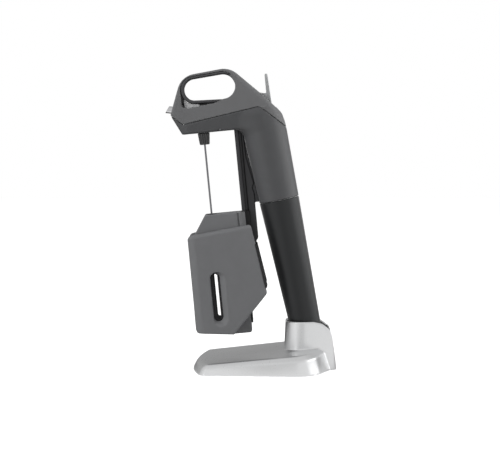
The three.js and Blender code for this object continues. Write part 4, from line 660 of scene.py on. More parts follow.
cup_profile = rounded(
    [
        (0, -CUP_LENGTH),
        (cup_radius(-CUP_LENGTH) - CUP_FOOT_CHAMFER, -CUP_LENGTH, CUP_FOOT_ROUND),
        (cup_radius(CUP_FOOT_CHAMFER - CUP_LENGTH), CUP_FOOT_CHAMFER - CUP_LENGTH, CUP_SIDE_ROUND),
        (cup_radius(CUP_MOUTH - CUP_MOUTH_CHAMFER), CUP_MOUTH - CUP_MOUTH_CHAMFER, CUP_MOUTH_ROUND),
        (cup_radius(CUP_MOUTH) - CUP_MOUTH_CHAMFER, CUP_MOUTH, CUP_MOUTH_ROUND),
        (cup_radius(CUP_MOUTH) - CUP_WALL, CUP_MOUTH),
        (cup_radius(CUP_MOUTH) - CUP_WALL, -CUP_THREAD_DEPTH),
        (CUP_BORE, -CUP_THREAD_DEPTH),
        (CUP_BORE, CUP_FLOOR - CUP_LENGTH),
        (0, CUP_FLOOR - CUP_LENGTH),
    ],
    closed=False,
)
cup = turned("capsule_tube", cup_profile, CUP)
cup_black = finish(
    "anodised_black", (0.016, 0.017, 0.018), 0.37, metallic=0.4, mottle=0.04, relief=0.04, sheen=0.9
)
dress(cup, cup_black, "cup", ["capsule_cup"])

# Head: two moulded halves in fine satin grey that meet along a seam from the nose to the arm. The
# front is cut to two slanting cheeks and an undercut nose, and a round arm runs down to the cup.
SHELL_WALL = 2.1
SEAM_GAP = 0.3
SEAM_EDGE = 0.3
HEAD_STEP = 0.62
CREST = 47.5
CREST_HALF_WIDTH = 7.4
KEEL = -1.5
KEEL_SHARE = 0.76
REAR_MIDDLE = 51.6
WIDEST = 17.4
NARROWING_FROM = 31.5
NARROWING = 0.128
NARROWING_SOFT = 10
SEAM_HEIGHT = 6.3
SEAM_START = -15.3
SEAM_RISE = 0.137
SEAM_ROUND = 0.4
SOFTENING = 10
CREASE_ROUND = 0.5
TOP_EDGE = 1.7
SLOPE_EDGE = 4.5
SLOPE_START = 24
ARM_LENGTH = 61
ARM_SPREAD = 1.7
ARM_RISE = 14
ARM_FILLET = 5.5
FILLET_LEAST = 1.5
FILLET_ENDS = (46, 56)
FILLET_TOPS = (8, 16)
ARM_EDGE = 1
ARM_EDGE_ENDS = (0, 12)
ABOVE_KEEL = (KEEL + 1, KEEL + 8)
HEAD_SIDE = [
    (-17.0, KEEL, 1.2),
    (-24.9, 14.6, 2.4),
    (-13.2, 44.8, 16),
    (25.9, 48.3, 17),
    (50.0, 23.8, 6),
    (64.4, 7.6, 7),
    (66.7, KEEL),
]
ARM_BACK = [(67.4, -3.7), (80, -90), (10, -90), (10, 60)]
SEAM_REAR = [(46.4, 14.8, 5), (66.5, -3.4), (110, -42.7), (110, 120), (-64.9, 120), (-64.9, 49.2)]
CHEEK_POINTS = [(8.2, -24.9, 14.6), (12.34, -6.7, 8.8), (9.44, -20.4, 22.5)]
UNDERCUT_POINTS = [(8.2, -24.9, 14.6), (6.5, -17.0, KEEL), (10.26, -15.3, 6.3)]

head_side = rounded(HEAD_SIDE)
arm_back = rounded([*HEAD_SIDE[3:6], *ARM_BACK])
seam_line = rounded([HEAD_SIDE[1][:2], (SEAM_START, SEAM_HEIGHT, SEAM_ROUND), *SEAM_REAR])


def facet(x, y, z, points):
    """How far a point is outside the flat facet through three points"""
    a, b, c = (np.array(point, float) for point in points)
    normal = np.cross(b - a, c - a)
    normal /= np.linalg.norm(normal)
    return (np.abs(x) - a[0]) * normal[0] + (y - a[1]) * normal[1] + (z - a[2]) * normal[2]


def head_block(x, y, z):
    """The head without its arm: seen from above it narrows to the nose, and it tapers up and down"""
    seam = SEAM_HEIGHT + SEAM_RISE * (y - SEAM_START)
    ahead = NARROWING_FROM - y
    half = WIDEST - NARROWING * (ahead + np.hypot(ahead, NARROWING_SOFT)) / 2
    up = (half - CREST_HALF_WIDTH) / (CREST - seam)
    down = (1 - KEEL_SHARE) * half / (seam - KEEL)
    rear = np.hypot(x, np.maximum(y - REAR_MIDDLE, 0)) - np.where(y > REAR_MIDDLE, WIDEST, half)
    above = (rear + up * (z - seam)) / np.hypot(1, up)
    below = (rear + down * (seam - z)) / np.hypot(1, down)
    flank = meet(above, below, CREASE_ROUND)
    flank = meet(flank, facet(x, y, z, CHEEK_POINTS), CREASE_ROUND)
    flank = meet(flank, facet(x, y, z, UNDERCUT_POINTS), CREASE_ROUND)
    above_keel = ease(z, *ABOVE_KEEL)
    edge = TOP_EDGE + (SLOPE_EDGE - TOP_EDGE) * ease(y, SLOPE_START, SLOPE_START + SOFTENING) * above_keel
    return meet(outside(y, z, head_side), flank, edge)


def arm_outside(x, y, z):
    """How far a point is outside the round arm, which widens towards the head, and how far up it"""
    beside, along = cup_way(y, z, DISPENSER)
    return np.hypot(x, beside) - CUP_TOP_RADIUS - ARM_SPREAD * along / ARM_LENGTH, along


def arm_block(x, y, z):
    """The round arm, cut off along the head's rear slope"""
    tube, along = arm_outside(x, y, z)
    tube = np.maximum(tube, along - ARM_LENGTH - ARM_RISE)
    edge = ARM_EDGE + (SLOPE_EDGE - ARM_EDGE) * ease(z, *ARM_EDGE_ENDS)
    return np.maximum(meet(tube, outside(y, z, arm_back), edge), -along)


def head_form(x, y, z):
    """Head and arm in one, with a soft fillet under the head in front of the arm"""
    fillet = ARM_FILLET * (1 - ease(y, *FILLET_ENDS)) * (1 - ease(z, *FILLET_TOPS)) + FILLET_LEAST
    return merge(head_block(x, y, z), arm_block(x, y, z), fillet)


# Handle window: an oblong hole through the upper half, wider at the rear, with a black grip ring let
# into it. A slit below the ring shows the valve block, with the ring's black web and skirt behind it.
WINDOW_FRONT = (-3.6, 33.4, 8.6)
WINDOW_REAR = (18.9, 33.7, 10.0)
RING_SHIFT = 0.5
RING_BAND = 2.2
RING_HALF_WIDTH = 8.1
RING_GAP = 0.25
RING_BORE_EDGE = 0.5
RING_SIDE_EDGE = 1.1
RING_STEP = 0.42
RING_BOX = ((-8.5, -16.8, 17.5), (8.5, 31, 46))
WINDOW_WALL = 1.6
SLIT = [
    (-13.5, 36.4),
    (-14.5, 36),
    (-14.9, 31),
    (-15.1, 19.9, 1.6),
    (-9.8, 18.7, 2.4),
    (11.4, 20.8, 2.4),
    (18.3, 23.1),
    (14, 29.5),
    (-5, 31),
]
WEB_HALF_WIDTH = 4.5
WEB_SIDE = [(-0.75, 18.2), (12, 19.6), (20, 23), (14, 26), (-0.75, 24)]
SKIRT_MIDDLE = 4.5
SKIRT_HALF = 0.7
SKIRT_SIDE = [(-16.3, 22.5), (-13.4, 22.5), (-13.4, 26.2), (-8, 26.2), (-8, 39), (-14, 39)]
OPENING_FADE = (13, 22)
WINDOW_MIDDLE = 34
slit_line = rounded(SLIT)
web_line = rounded(WEB_SIDE)
skirt_line = rounded(SKIRT_SIDE)


def belt(y, z, out=0.0, shift=0.0):
    """Two circles and the tangents that join them, as the window and its ring are"""
    (y0, z0, r0), (y1, z1, r1) = WINDOW_FRONT, WINDOW_REAR
    span = Vector((y1 - y0, z1 - z0))
    lean = (r0 - r1) / span.length
    along = ((y - y0 + shift) * span.x + (z - z0 + shift) * span.y) / span.length
    off = np.abs((z - z0 + shift) * span.x - (y - y0 + shift) * span.y) / span.length
    share = np.clip((along - off * lean / (1 - lean * lean) ** 0.5) / span.length, 0, 1)
    return np.hypot(along - share * span.length, off) - r0 - share * (r1 - r0) - out


def ring_outside(y, z, gap=0.0):
    """The grip ring's outer outline, a little lower and further forward than the window"""
    return belt(y, z, RING_BAND + gap, RING_SHIFT)


def grip_ring(x, y, z):
    """The ring round the window, and below it the skirt and the web that close the slit behind it"""
    band = without(ring_outside(y, z), belt(y, z), RING_BORE_EDGE)
    band = meet(band, np.abs(x) - RING_HALF_WIDTH, RING_SIDE_EDGE)
    web = np.maximum(outside(y, z, web_line), np.abs(x) - WEB_HALF_WIDTH)
    skirt = np.maximum(outside(y, z, skirt_line), np.abs(np.abs(x) - SKIRT_MIDDLE) - SKIRT_HALF)
    return without(np.minimum(band, np.minimum(web, skirt)), belt(y, z), RING_BORE_EDGE)


def ring_way(x, y, z):
    """The ring's place in the shell. Its opening is the ring's size in front, and the window's behind"""
    fade = ease(y - (z - WINDOW_MIDDLE) / 2, *OPENING_FADE)
    outline = (1 - fade) * ring_outside(y, z, RING_GAP) + fade * belt(y, z)
    seat = np.maximum(ring_outside(y, z, RING_GAP), np.abs(x) - RING_HALF_WIDTH - RING_GAP)
    return np.minimum(outline, seat)


ring = sculpted("window_ring", grip_ring, RING_BOX, RING_STEP, DISPENSER)
ring_black = finish("grip_black", (0.05, 0.05, 0.053), 0.5, grain=0.0004, relief=0.12)
dress(ring, ring_black, "head", ["grip_ring"])

# Upper half of the head: the handle, the nose's cheeks and the rear slope, with a hole for the spout
# and a slot for the trigger. It is hollow, with a wall round the window and lugs for the trigger's pin.
SPOUT_RADIUS = 2.9
SPOUT_BORE = 2.1
SPOUT_RISE = radians(12)
SPOUT_START = (-12.4, 16.6)
SPOUT_LENGTH = 18
TRIGGER_PIVOT = (52.6, 8.6)
TRIGGER_HALF_WIDTH = 7.5
TRIGGER_SLOT = (42.5, 57.5)
TRIGGER_GAP = 0.4
LUG = 2.0
LUG_HALF_LENGTH = 4
TRIGGER_PIN = 1.4
LUG_DROP = 4
PIN_GAP = 0.15
PIN_END_GAP = 0.2
SHELL_SCREW = (9.6, 14.0)
SCREW_BOSS = 2.8
SCREW_BORE = 1.1
SCREW_END = 14.5
CUT_EDGE = 0.35
SLOT_EDGE = 0.3
SPOUT_GAP = 0.25
UPPER_BOX = ((-18, -25.5, -4), (18, 67, 48.5))


def spout_way(x, y, z):
    """Distances from the spout's axis and along it"""
    ahead, up = SPOUT_START[0] - y, z - SPOUT_START[1]
    along = ahead * cos(SPOUT_RISE) + up * sin(SPOUT_RISE)
    return np.hypot(x, up * cos(SPOUT_RISE) - ahead * sin(SPOUT_RISE)), along


def cavity(x, y, z, form):
    """The hollow inside the shells, clear of the window"""
    return np.maximum(form + SHELL_WALL, WINDOW_WALL - ring_outside(y, z, RING_GAP))


def screw_way(x, y):
    """Distance from the axis of the nearer of the two shell screws"""
    return np.hypot(np.abs(x) - SHELL_SCREW[0], y - SHELL_SCREW[1])


def upper_half(x, y, z):
    """The shell above the seam, with its lugs, bosses, openings and bores"""
    form = head_form(x, y, z)
    inner = TRIGGER_HALF_WIDTH + TRIGGER_GAP
    lugs = np.abs(np.abs(x) - inner - LUG / 2) - LUG / 2
    lugs = np.maximum(lugs, np.abs(y - TRIGGER_PIVOT[0]) - LUG_HALF_LENGTH)
    lugs = np.maximum(lugs, TRIGGER_PIVOT[1] - LUG_DROP - z)
    screw = screw_way(x, y)
    room = without(without(cavity(x, y, z, form), lugs), screw - SCREW_BOSS)
    shell = without(without(form, room), ring_way(x, y, z), CUT_EDGE)
    shell = without(shell, np.maximum(outside(y, z, slit_line), 0), CUT_EDGE)
    off, along = spout_way(x, y, z)
    shell = without(shell, np.maximum(off - SPOUT_RADIUS - SPOUT_GAP, -along))
    middle_y = (TRIGGER_SLOT[0] + TRIGGER_SLOT[1]) / 2
    half_slot = (TRIGGER_SLOT[1] - TRIGGER_SLOT[0]) / 2
    slot = np.maximum(np.abs(y - middle_y) - half_slot, np.abs(x) - inner)
    slot = np.maximum(slot, TRIGGER_PIVOT[1] - z)
    shell = without(shell, slot, SLOT_EDGE)
    hole = np.hypot(y - TRIGGER_PIVOT[0], z - TRIGGER_PIVOT[1]) - TRIGGER_PIN - PIN_GAP
    shell = without(shell, np.maximum(hole, np.abs(x) - inner - LUG - PIN_END_GAP))
    shell = without(shell, np.maximum(screw - SCREW_BORE, z - SCREW_END))
    return meet(shell, outside(y, z, seam_line) + SEAM_GAP / 2, SEAM_EDGE)


head_top = sculpted("head_upper_half", upper_half, UPPER_BOX, HEAD_STEP, DISPENSER)
head_grey = finish(
    "satin_grey", (0.115, 0.116, 0.119), 0.48, mottle=0.03, grain=0.0003, relief=0.08, sheen=0.3
)
dress(head_top, head_grey, "head", ["head_upper_shell"])

# Lower half of the head and the arm, in a darker grey: the needle's socket, the rail's tongue and two
# screws come through its floor, and the cup's collar fits its foot.
SOCKET_HOLE = 4.2
TONGUE_MIDDLE = 31.3
TONGUE_HALF_WIDTH = 2.8
TONGUE_HALF_LENGTH = 4
TONGUE_GAP = 0.3
TONGUE_POCKET_TOP = 9
PIN_BLOCK_WALL = 3.9
PIN_BLOCK_HALF_LENGTH = 2.4
PIN_BLOCK_TOP = 5.1
RAIL_PIN_HEIGHT = 3.4
RAIL_PIN_RADIUS = 1.25
RAIL_PIN_HALF = 7.2
ARM_HOLLOW_TOP = 40
BOSS_TOP = 10
BORE_TOP = 20
SCREW_HEAD_RADIUS = 2.0
SCREW_HEAD_TOP = 0.7
LOWER_BOX = ((-18.5, -25.5, -62), (18.5, 74, 19))


def lower_half(x, y, z):
    """The shell below the seam, with the arm's hollow, the block round the tongue, and the bores"""
    form = head_form(x, y, z)
    arm, along = arm_outside(x, y, z)
    room = np.minimum(cavity(x, y, z, form), np.maximum(arm + SHELL_WALL, along - ARM_HOLLOW_TOP))
    screw = screw_way(x, y)
    room = without(room, np.maximum(screw - SCREW_BOSS, z - BOSS_TOP))
    from_tongue = np.abs(y - TONGUE_MIDDLE)
    beside_tongue = np.abs(x) - TONGUE_HALF_WIDTH
    tongue = np.maximum(from_tongue - TONGUE_HALF_LENGTH - TONGUE_GAP, beside_tongue - TONGUE_GAP)
    pin_block = np.maximum(from_tongue - PIN_BLOCK_HALF_LENGTH, beside_tongue - PIN_BLOCK_WALL)
    room = without(room, np.maximum(pin_block, z - PIN_BLOCK_TOP))
    shell = without(form, room)
    shell = without(shell, np.hypot(x, y) - SOCKET_HOLE, SLOT_EDGE)
    shell = without(shell, np.maximum(tongue, z - TONGUE_POCKET_TOP))
    pin = np.hypot(y - TONGUE_MIDDLE, z - RAIL_PIN_HEIGHT) - RAIL_PIN_RADIUS
    shell = without(shell, np.maximum(pin, np.abs(x) - RAIL_PIN_HALF))
    shell = without(shell, np.maximum(screw - SCREW_BORE, z - BORE_TOP))
    shell = without(shell, np.maximum(screw - SCREW_HEAD_RADIUS, z - SCREW_HEAD_TOP))
    return meet(shell, SEAM_GAP / 2 - outside(y, z, seam_line), SEAM_EDGE)


head_low = sculpted("head_lower_half", lower_half, LOWER_BOX, HEAD_STEP, DISPENSER)
lower_grey = finish(
    "dark_satin_grey", (0.064, 0.065, 0.068), 0.45, mottle=0.03, grain=0.0003, relief=0.08, sheen=0.3
)
dress(head_low, lower_grey, "head", ["head_lower_shell"])

# Valve block: a pale grey moulding that shows through the slit below the ring. It is bored for the
# spout, the needle's passage and the push rod, and its nose is stepped in behind the head's front.
BLOCK_SIDE = [
    (-15.4, 9),
    (7, 9, 0.6),
    (7, 17.2, 0.6),
    (-0.8, 17.2),
    (-0.8, 26, 0.6),
    (-13.6, 26, 0.6),
    (-17.2, 20.4, 0.6),
]
BLOCK_HALF_WIDTH = 6.2
BLOCK_NOSE = -13.2
NOSE_HALF_WIDTH = 3.6
ROD_HEIGHT = 14.6
ROD_BORE = 2.0
ROD_BORE_START = 1.5
PASSAGE_RADIUS = 1.2
BLOCK_EDGE = 0.5
BORE_EDGE = 0.2
BLOCK_STEP = 0.5
BLOCK_BOX = ((-6.5, -17.5, 9), (6.5, 7.5, 26))
block_line = rounded(BLOCK_SIDE)


def valve_housing(x, y, z):
    """The block and its narrower nose, with the ring's space and the bores cut out"""
    side = outside(y, z, block_line)
    body = meet(np.maximum(side, BLOCK_NOSE - y), np.abs(x) - BLOCK_HALF_WIDTH, BLOCK_EDGE)
    nose = meet(side, np.abs(x) - NOSE_HALF_WIDTH, BLOCK_EDGE)
    body = without(np.minimum(body, nose), ring_outside(y, z, RING_GAP))
    off, along = spout_way(x, y, z)
    body = without(body, np.maximum(off - SPOUT_RADIUS - SPOUT_GAP, -along))
    rod = np.hypot(x, z - ROD_HEIGHT)
    body = without(body, np.maximum(rod - ROD_BORE, ROD_BORE_START - y), BORE_EDGE)
    body = without(body, np.maximum(rod - PASSAGE_RADIUS, SPOUT_START[0] - y))
    return without(body, np.maximum(np.hypot(x, y) - PASSAGE_RADIUS, z - ROD_HEIGHT), BORE_EDGE)


housing = sculpted("valve_housing", valve_housing, BLOCK_BOX, BLOCK_STEP, DISPENSER)
light_grey = finish("pale_grey", (0.33, 0.335, 0.34), 0.4, mottle=0.02, grain=0.0003, relief=0.05)
# The block's grey is the lever's pale grey painted lighter, as painted light against the shade it sits in
# behind the slit.
block_grey_painted_lit = finish("block_grey_painted_lit", (0.6, 0.605, 0.61), 0.4, mottle=0.02, grain=0.0003, relief=0.05)
dress(housing, block_grey_painted_lit, "head", ["valve_block"])

# Pour spout: a polished steel tube pressed into the valve block. It rises a little, and its mouth is
# cut back at a slant so that the wine leaves it cleanly.
SPOUT_SLANT = radians(24)
SPOUT_REACH = SPOUT_LENGTH - SPOUT_RADIUS
SPOUT_EDGE = 0.12
SPOUT_STEP = 0.3
SPOUT_BOX = ((-3.2, -32, 13), (3.2, -11, 23.5))


def spout_tube(x, y, z):
    """The tube with its slanted mouth"""
    off, along = spout_way(x, y, z)
    high = (z - SPOUT_START[1]) * cos(SPOUT_RISE) - (SPOUT_START[0] - y) * sin(SPOUT_RISE)
    mouth = (along - SPOUT_REACH) * cos(SPOUT_SLANT) + high * sin(SPOUT_SLANT)
    tube = without(off - SPOUT_RADIUS, off - SPOUT_BORE)
    return meet(tube, np.maximum(mouth, -along), SPOUT_EDGE)


spout = sculpted("spout_tube", spout_tube, SPOUT_BOX, SPOUT_STEP, DISPENSER)
polished = finish("polished_steel", (0.62, 0.62, 0.63), 0.12, metallic=1.0, mottle=0.02, relief=0.01)
dress(spout, polished, "head", ["pour_spout"])

# Needle: a drawn steel tube with a closed point and a port across it. The knob below the head turns
# on a thread to free it: glossy black, tapered, with eight flutes, and a stem that seats on a seal.
NEEDLE_RADIUS = 0.75
NEEDLE_BORE = 0.4
NEEDLE_TIP = -84
NEEDLE_POINT = 2.6
POINT_SHARE = 0.96
POINT_EDGE = 0.3
PORT_RADIUS = 0.35
PORT_PLACE = 2.5
BORE_END = 2
NEEDLE_TOP = 5
NEEDLE_STEP = 0.17
NEEDLE_BOX = ((-1, -1, NEEDLE_TIP), (1, 1, NEEDLE_TOP))
KNOB_TOP = -1.6
KNOB_FOOT = -11.1
KNOB_TOP_RADIUS = 5
KNOB_FOOT_RADIUS = 4.15
KNOB_EDGE = 0.8
KNOB_FLUTES = 8
FLUTE_RADIUS = 1.05
FLUTE_TOP = -2.4
FLUTE_EDGE = 0.3
KNOB_BORE_GAP = 0.12
STEM_RADIUS = 2.6
STEM_TOP = 4.8
STEM_ROOT = 2
KNOB_STEP = 0.28
KNOB_BOX = ((-5.2, -5.2, KNOB_FOOT), (5.2, 5.2, STEM_TOP))


def needle_tube(x, y, z):
    """The needle, pointed, hollow down to its port"""
    off = np.hypot(x, y)
    point = (off - (z - NEEDLE_TIP) * NEEDLE_RADIUS / NEEDLE_POINT) * POINT_SHARE
    tube = meet(np.maximum(off - NEEDLE_RADIUS, z - NEEDLE_TOP), point, POINT_EDGE)
    tube = without(tube, np.maximum(off - NEEDLE_BORE, NEEDLE_TIP + BORE_END * NEEDLE_POINT - z))
    return without(tube, np.hypot(y, z - NEEDLE_TIP - PORT_PLACE * NEEDLE_POINT) - PORT_RADIUS)


def fluted_knob(x, y, z):
    """The knob's cone with rounded ends and flutes up its side, and its stem"""
    off = np.hypot(x, y)
    taper = (KNOB_TOP_RADIUS - KNOB_FOOT_RADIUS) / (KNOB_TOP - KNOB_FOOT)
    cone = off - KNOB_FOOT_RADIUS - taper * (z - KNOB_FOOT)
    cone = meet(cone, np.abs(z - (KNOB_TOP + KNOB_FOOT) / 2) - (KNOB_TOP - KNOB_FOOT) / 2, KNOB_EDGE)
    turn = 2 * pi / KNOB_FLUTES
    angle = np.mod(np.arctan2(y, x) + turn / 2, turn) - turn / 2
    middle = KNOB_TOP_RADIUS + taper * (z - KNOB_TOP)
    flute = np.hypot(off * np.cos(angle) - middle, off * np.sin(angle)) - FLUTE_RADIUS
    cone = without(cone, np.maximum(flute, z - FLUTE_TOP), FLUTE_EDGE)
    stem = np.maximum(np.maximum(off - STEM_RADIUS, z - STEM_TOP), KNOB_FOOT + STEM_ROOT - z)
    return without(np.minimum(cone, stem), off - NEEDLE_RADIUS - KNOB_BORE_GAP)


needle = sculpted("hollow_needle", needle_tube, NEEDLE_BOX, NEEDLE_STEP, DISPENSER)
# The needle's steel is painted much darker than plain steel: painted shade.
shaded_needle_metal = finish("steel_painted_dark", (0.2, 0.2, 0.21), 0.3, metallic=1.0, mottle=0.04, relief=0.02)
dress(needle, shaded_needle_metal, "needle", ["needle"])
knob = sculpted("fluted_knob", fluted_knob, KNOB_BOX, KNOB_STEP, DISPENSER)
knob_gloss = finish("gloss_black", (0.008, 0.008, 0.009), 0.1, mottle=0.03, relief=0.01, specular=0.8)
dress(knob, knob_gloss, "needle_knob", ["needle_knob"])

# Parts inside the head, as they were drawn: the push rod, the needle's steel socket and its seal, the
# gas tube from the regulator, the pins of the rail and the trigger, and the two screws that join the
# head's halves from below, in the needle's darkened steel.
for name in ("push_rod", "needle_socket", "rail_pin", "trigger_pin"):
    kept(name, steel)
for word in ("right", "left"):
    kept(f"shell_screw_{word}", shaded_needle_metal)
kept("needle_seal", rubber)
kept("gas_tube", plain_black)

# Coil springs of steel wire: behind the push rod, in the regulator, and round each of the clamp's two
# hinge pins, where one is wound as the mirror image of the other.
COIL_SIDES = 10
COIL_STEPS = 32


def coil(name, radius, wire, start, length, turns, place, side=1):
    """A coil of round wire up the axis of its frame, wound the other way for side -1"""
    steps = turns * COIL_STEPS
    points, faces = [], []
    for i in range(steps + 1):
        angle = side * 2 * pi * i / COIL_STEPS
        out = Vector((cos(angle), sin(angle), 0))
        middle = out * radius + Vector((0, 0, start + length * i / steps))
        for k in range(COIL_SIDES):
            around = 2 * pi * k / COIL_SIDES
            points.append(middle + out * wire * cos(around) + Vector((0, 0, wire * sin(around))))
    for i in range(steps):
        for k in range(COIL_SIDES):
            low, high = i * COIL_SIDES, (i + 1) * COIL_SIDES
            next_k = (k + 1) % COIL_SIDES
            face = [low + k, high + k, high + next_k, low + next_k]
            faces.append(face[::-side])
    faces.append([*range(COIL_SIDES)][::side])
    faces.append([*range(steps * COIL_SIDES, (steps + 1) * COIL_SIDES)][::-side])
    made = placed(name, [tuple(point) for point in points], faces, place)
    made.data.shade_smooth()
    return made


SIDES = (("right", 1), ("left", -1))
HINGE_X = 11.6
HINGE_Y = 19.6
VALVE_COIL = {"radius": 2.5, "wire": 0.35, "start": 7.65, "length": 7, "turns": 5}
PISTON_COIL = {"radius": 5.2, "wire": 0.6, "start": 30.9, "length": 6.6, "turns": 4}
HINGE_COIL = {"radius": 1.9, "wire": 0.35, "start": -130.05, "length": 17.3, "turns": 5}
along_rod = DISPENSER @ Matrix.Translation((0, 0, ROD_HEIGHT)) @ Matrix.Rotation(-pi / 2, 4, "X")
valve_coil = coil("rod_return_spring", place=along_rod, **VALVE_COIL)
dress(valve_coil, steel, "head", ["valve_spring"])
piston_coil = coil("piston_spring", place=CUP, **PISTON_COIL)
dress(piston_coil, steel, "head", ["regulator_spring"])
for word, side in SIDES:
    at_hinge = DISPENSER @ Matrix.Translation((side * HINGE_X, HINGE_Y, 0))
    hinge_coil = coil(f"hinge_spring_{word}", place=at_hinge, side=side, **HINGE_COIL)
    dress(hinge_coil, steel, "clamp", [f"clamp_spring_{word}"])

# Rail: a black moulding of T section. The clamp's ears ride on its flange, its tongue is pinned in the
# head's floor, and its web runs back to the arm, with a raised panel on each side.
RAIL_FRONT = 24.6
RAIL_HALF_WIDTH = 6
RAIL_CHAMFER = 1.2
RAIL_REAR = 35.8
RAIL_TOP = -1.1
RAIL_BOTTOM = -92.7
RAIL_EDGE = 0.4
FLANGE_REAR = 27.8
NECK_HALF_WIDTH = 1.9
NECK_FILLET = 0.3
FLANGE_PLAN = [
    (RAIL_HALF_WIDTH - RAIL_CHAMFER, RAIL_FRONT),
    (RAIL_HALF_WIDTH, RAIL_FRONT + RAIL_CHAMFER, RAIL_EDGE),
    (RAIL_HALF_WIDTH, FLANGE_REAR, RAIL_EDGE),
]
PANEL_FRONT = 29.9
PANEL_HALF_WIDTH = 2.8
PANEL_EDGE = 0.5
PANEL_SIDE = [
    (PANEL_FRONT, 0),
    (31.6, 0),
    (31.9, -23.4),
    (36.2, -45.6),
    (34.6, -48.6),
    (RAIL_REAR, -54),
    (RAIL_REAR, RAIL_BOTTOM, 4.5),
    (PANEL_FRONT, RAIL_BOTTOM),
]
WEB_FRONT = 26.1
WEB_REAR = 55
WEB_BOTTOM = -60.8
RAIL_WEB_SIDE = [
    (WEB_FRONT, 0),
    (WEB_REAR, 0),
    (WEB_REAR, WEB_BOTTOM),
    (RAIL_REAR, WEB_BOTTOM, 1),
    (34, RAIL_BOTTOM),
    (WEB_FRONT, RAIL_BOTTOM),
]
TONGUE_TOP = 6.5
TONGUE_ROOT = 2
ARM_SINK = 0.2
RAIL_STEP = 0.45
RAIL_BOX = ((-6.5, 24, -93.5), (6.5, 56, 7))

flange_plan = rounded(mirrored(FLANGE_PLAN))
panel_side = rounded(PANEL_SIDE)
web_side = rounded(RAIL_WEB_SIDE)


def rail_form(x, y, z):
    """Flange, neck, raised panels and web, with the tongue on top and the arm's place cut away"""
    ends = np.maximum(z - RAIL_TOP, RAIL_BOTTOM - z)
    flange = meet(outside(x, y, flange_plan), ends, RAIL_EDGE)
    panel = meet(outside(y, z, panel_side), np.abs(x) - PANEL_HALF_WIDTH, PANEL_EDGE)
    web = np.maximum(outside(y, z, web_side), np.abs(x) - NECK_HALF_WIDTH)
    body = np.maximum(merge(np.minimum(flange, panel), web, NECK_FILLET), ends)
    body = without(body, arm_outside(x, y, z)[0] + ARM_SINK)
    tongue = np.maximum(np.abs(y - TONGUE_MIDDLE) - TONGUE_HALF_LENGTH, np.abs(x) - TONGUE_HALF_WIDTH)
    tongue = np.maximum(tongue, np.maximum(z - TONGUE_TOP, RAIL_TOP - TONGUE_ROOT - z))
    pin = np.hypot(y - TONGUE_MIDDLE, z - RAIL_PIN_HEIGHT) - RAIL_PIN_RADIUS
    return without(np.minimum(body, tongue), pin)


rail = sculpted("clamp_rail", rail_form, RAIL_BOX, RAIL_STEP, DISPENSER)
rail_black = finish("rail_black", (0.02, 0.02, 0.022), 0.42, grain=0.0004, relief=0.06)
dress(rail, rail_black, "head", ["rail"])

# Trigger lever: a pale grey moulding on a pin in the upper half. Its blade stands up behind the head for
# the thumb, a foot covers the slot, and a nose inside pushes the rod.
TRIGGER_BARREL = 3
LEVER_SIDE = [
    (48.2, 11.6, 0.5),
    (48.2, 17.5, 0.8),
    (45.6, 23.8, 0.4),
    (45.6, 26.4, 0.6),
    (48.4, 25.9, 1),
    (53.2, 24.9, 1.2),
    (53.2, 40.8, 0.9),
    (55.2, 40.8, 0.9),
    (56.6, 15.5, 2),
    (55.6, 8.6),
    (49.6, 8.6),
]
LEVER_TAPER = 0.4
LEVER_FACE = [(TRIGGER_HALF_WIDTH, 5), (TRIGGER_HALF_WIDTH - LEVER_TAPER, 40.8, 4)]
LEVER_EDGE = 0.6
BARREL_EDGE = 0.4
LEVER_STEP = 0.4
LEVER_BOX = ((-8, 45, 5), (8, 57.5, 41))
lever_side = rounded(LEVER_SIDE)
lever_face = rounded(mirrored(LEVER_FACE))


def lever(x, y, z):
    """Blade, foot and nose in one, on a barrel with the pin's hole"""
    blade = meet(outside(y, z, lever_side), outside(x, z, lever_face), LEVER_EDGE)
    pivot = np.hypot(y - TRIGGER_PIVOT[0], z - TRIGGER_PIVOT[1])
    barrel = meet(pivot - TRIGGER_BARREL, np.abs(x) - TRIGGER_HALF_WIDTH, BARREL_EDGE)
    return without(np.minimum(blade, barrel), pivot - TRIGGER_PIN - PIN_GAP)


trigger = sculpted("thumb_lever", lever, LEVER_BOX, LEVER_STEP, DISPENSER)
dress(trigger, light_grey, "trigger", ["trigger_lever"])

# Clamp frame: a grey guide block whose ears hold the rail, and a spine below it with a groove for the
# needle. The rear of its ears is black, as painted shade for the dark gap between ears and rail; the
# paddles' hinge pins stand in its lugs, and black strips steady it.
GUIDE_TOP = -67.3
GUIDE_FOOT = -89
GUIDE_HALF_WIDTH = 13
GUIDE_GROOVE = 0.9
EAR_INSET = 0.1
GUIDE_SIDE = [(-16.6, GUIDE_FOOT), (-16.6, -84.5), (-5.3, GUIDE_TOP, 1.2), (35, GUIDE_TOP), (35, GUIDE_FOOT)]
GUIDE_PLAN = [
    (GUIDE_HALF_WIDTH, -17, 0.8),
    (GUIDE_HALF_WIDTH, 20.9, 0.3),
    (GUIDE_HALF_WIDTH - GUIDE_GROOVE, 20.9),
    (GUIDE_HALF_WIDTH - GUIDE_GROOVE, 22.0),
    (GUIDE_HALF_WIDTH - EAR_INSET, 22.0, 0.5),
    (GUIDE_HALF_WIDTH - EAR_INSET, 24.2, 2),
    (10.6, 27.4, 2),
    (8.0, 27.6),
    (7.6, 30.9, 0.8),
    (3.2, 30.9, 0.5),
    (3.2, 28.1),
    (6.4, 28.1),
    (6.4, 24.2),
]
GUIDE_EDGE = 0.5
GUIDE_FILLET = 0.8
SPINE_FOOT = -164.8
SPINE_EDGE = 0.6
HEEL_FRONT = 6.4
HEEL_REAR = 21.9
HEEL_TOP = -158.5
HEEL_EDGE = 1
HEEL_SIDE_EDGE = 0.8
SPINE_HALF_WIDTH = 8.8
SPINE_REAR = 23.9
SPINE_SIDE = [(12, -88), (SPINE_REAR, -88), (SPINE_REAR, SPINE_FOOT, 2.2), (12, SPINE_FOOT, 1.5)]
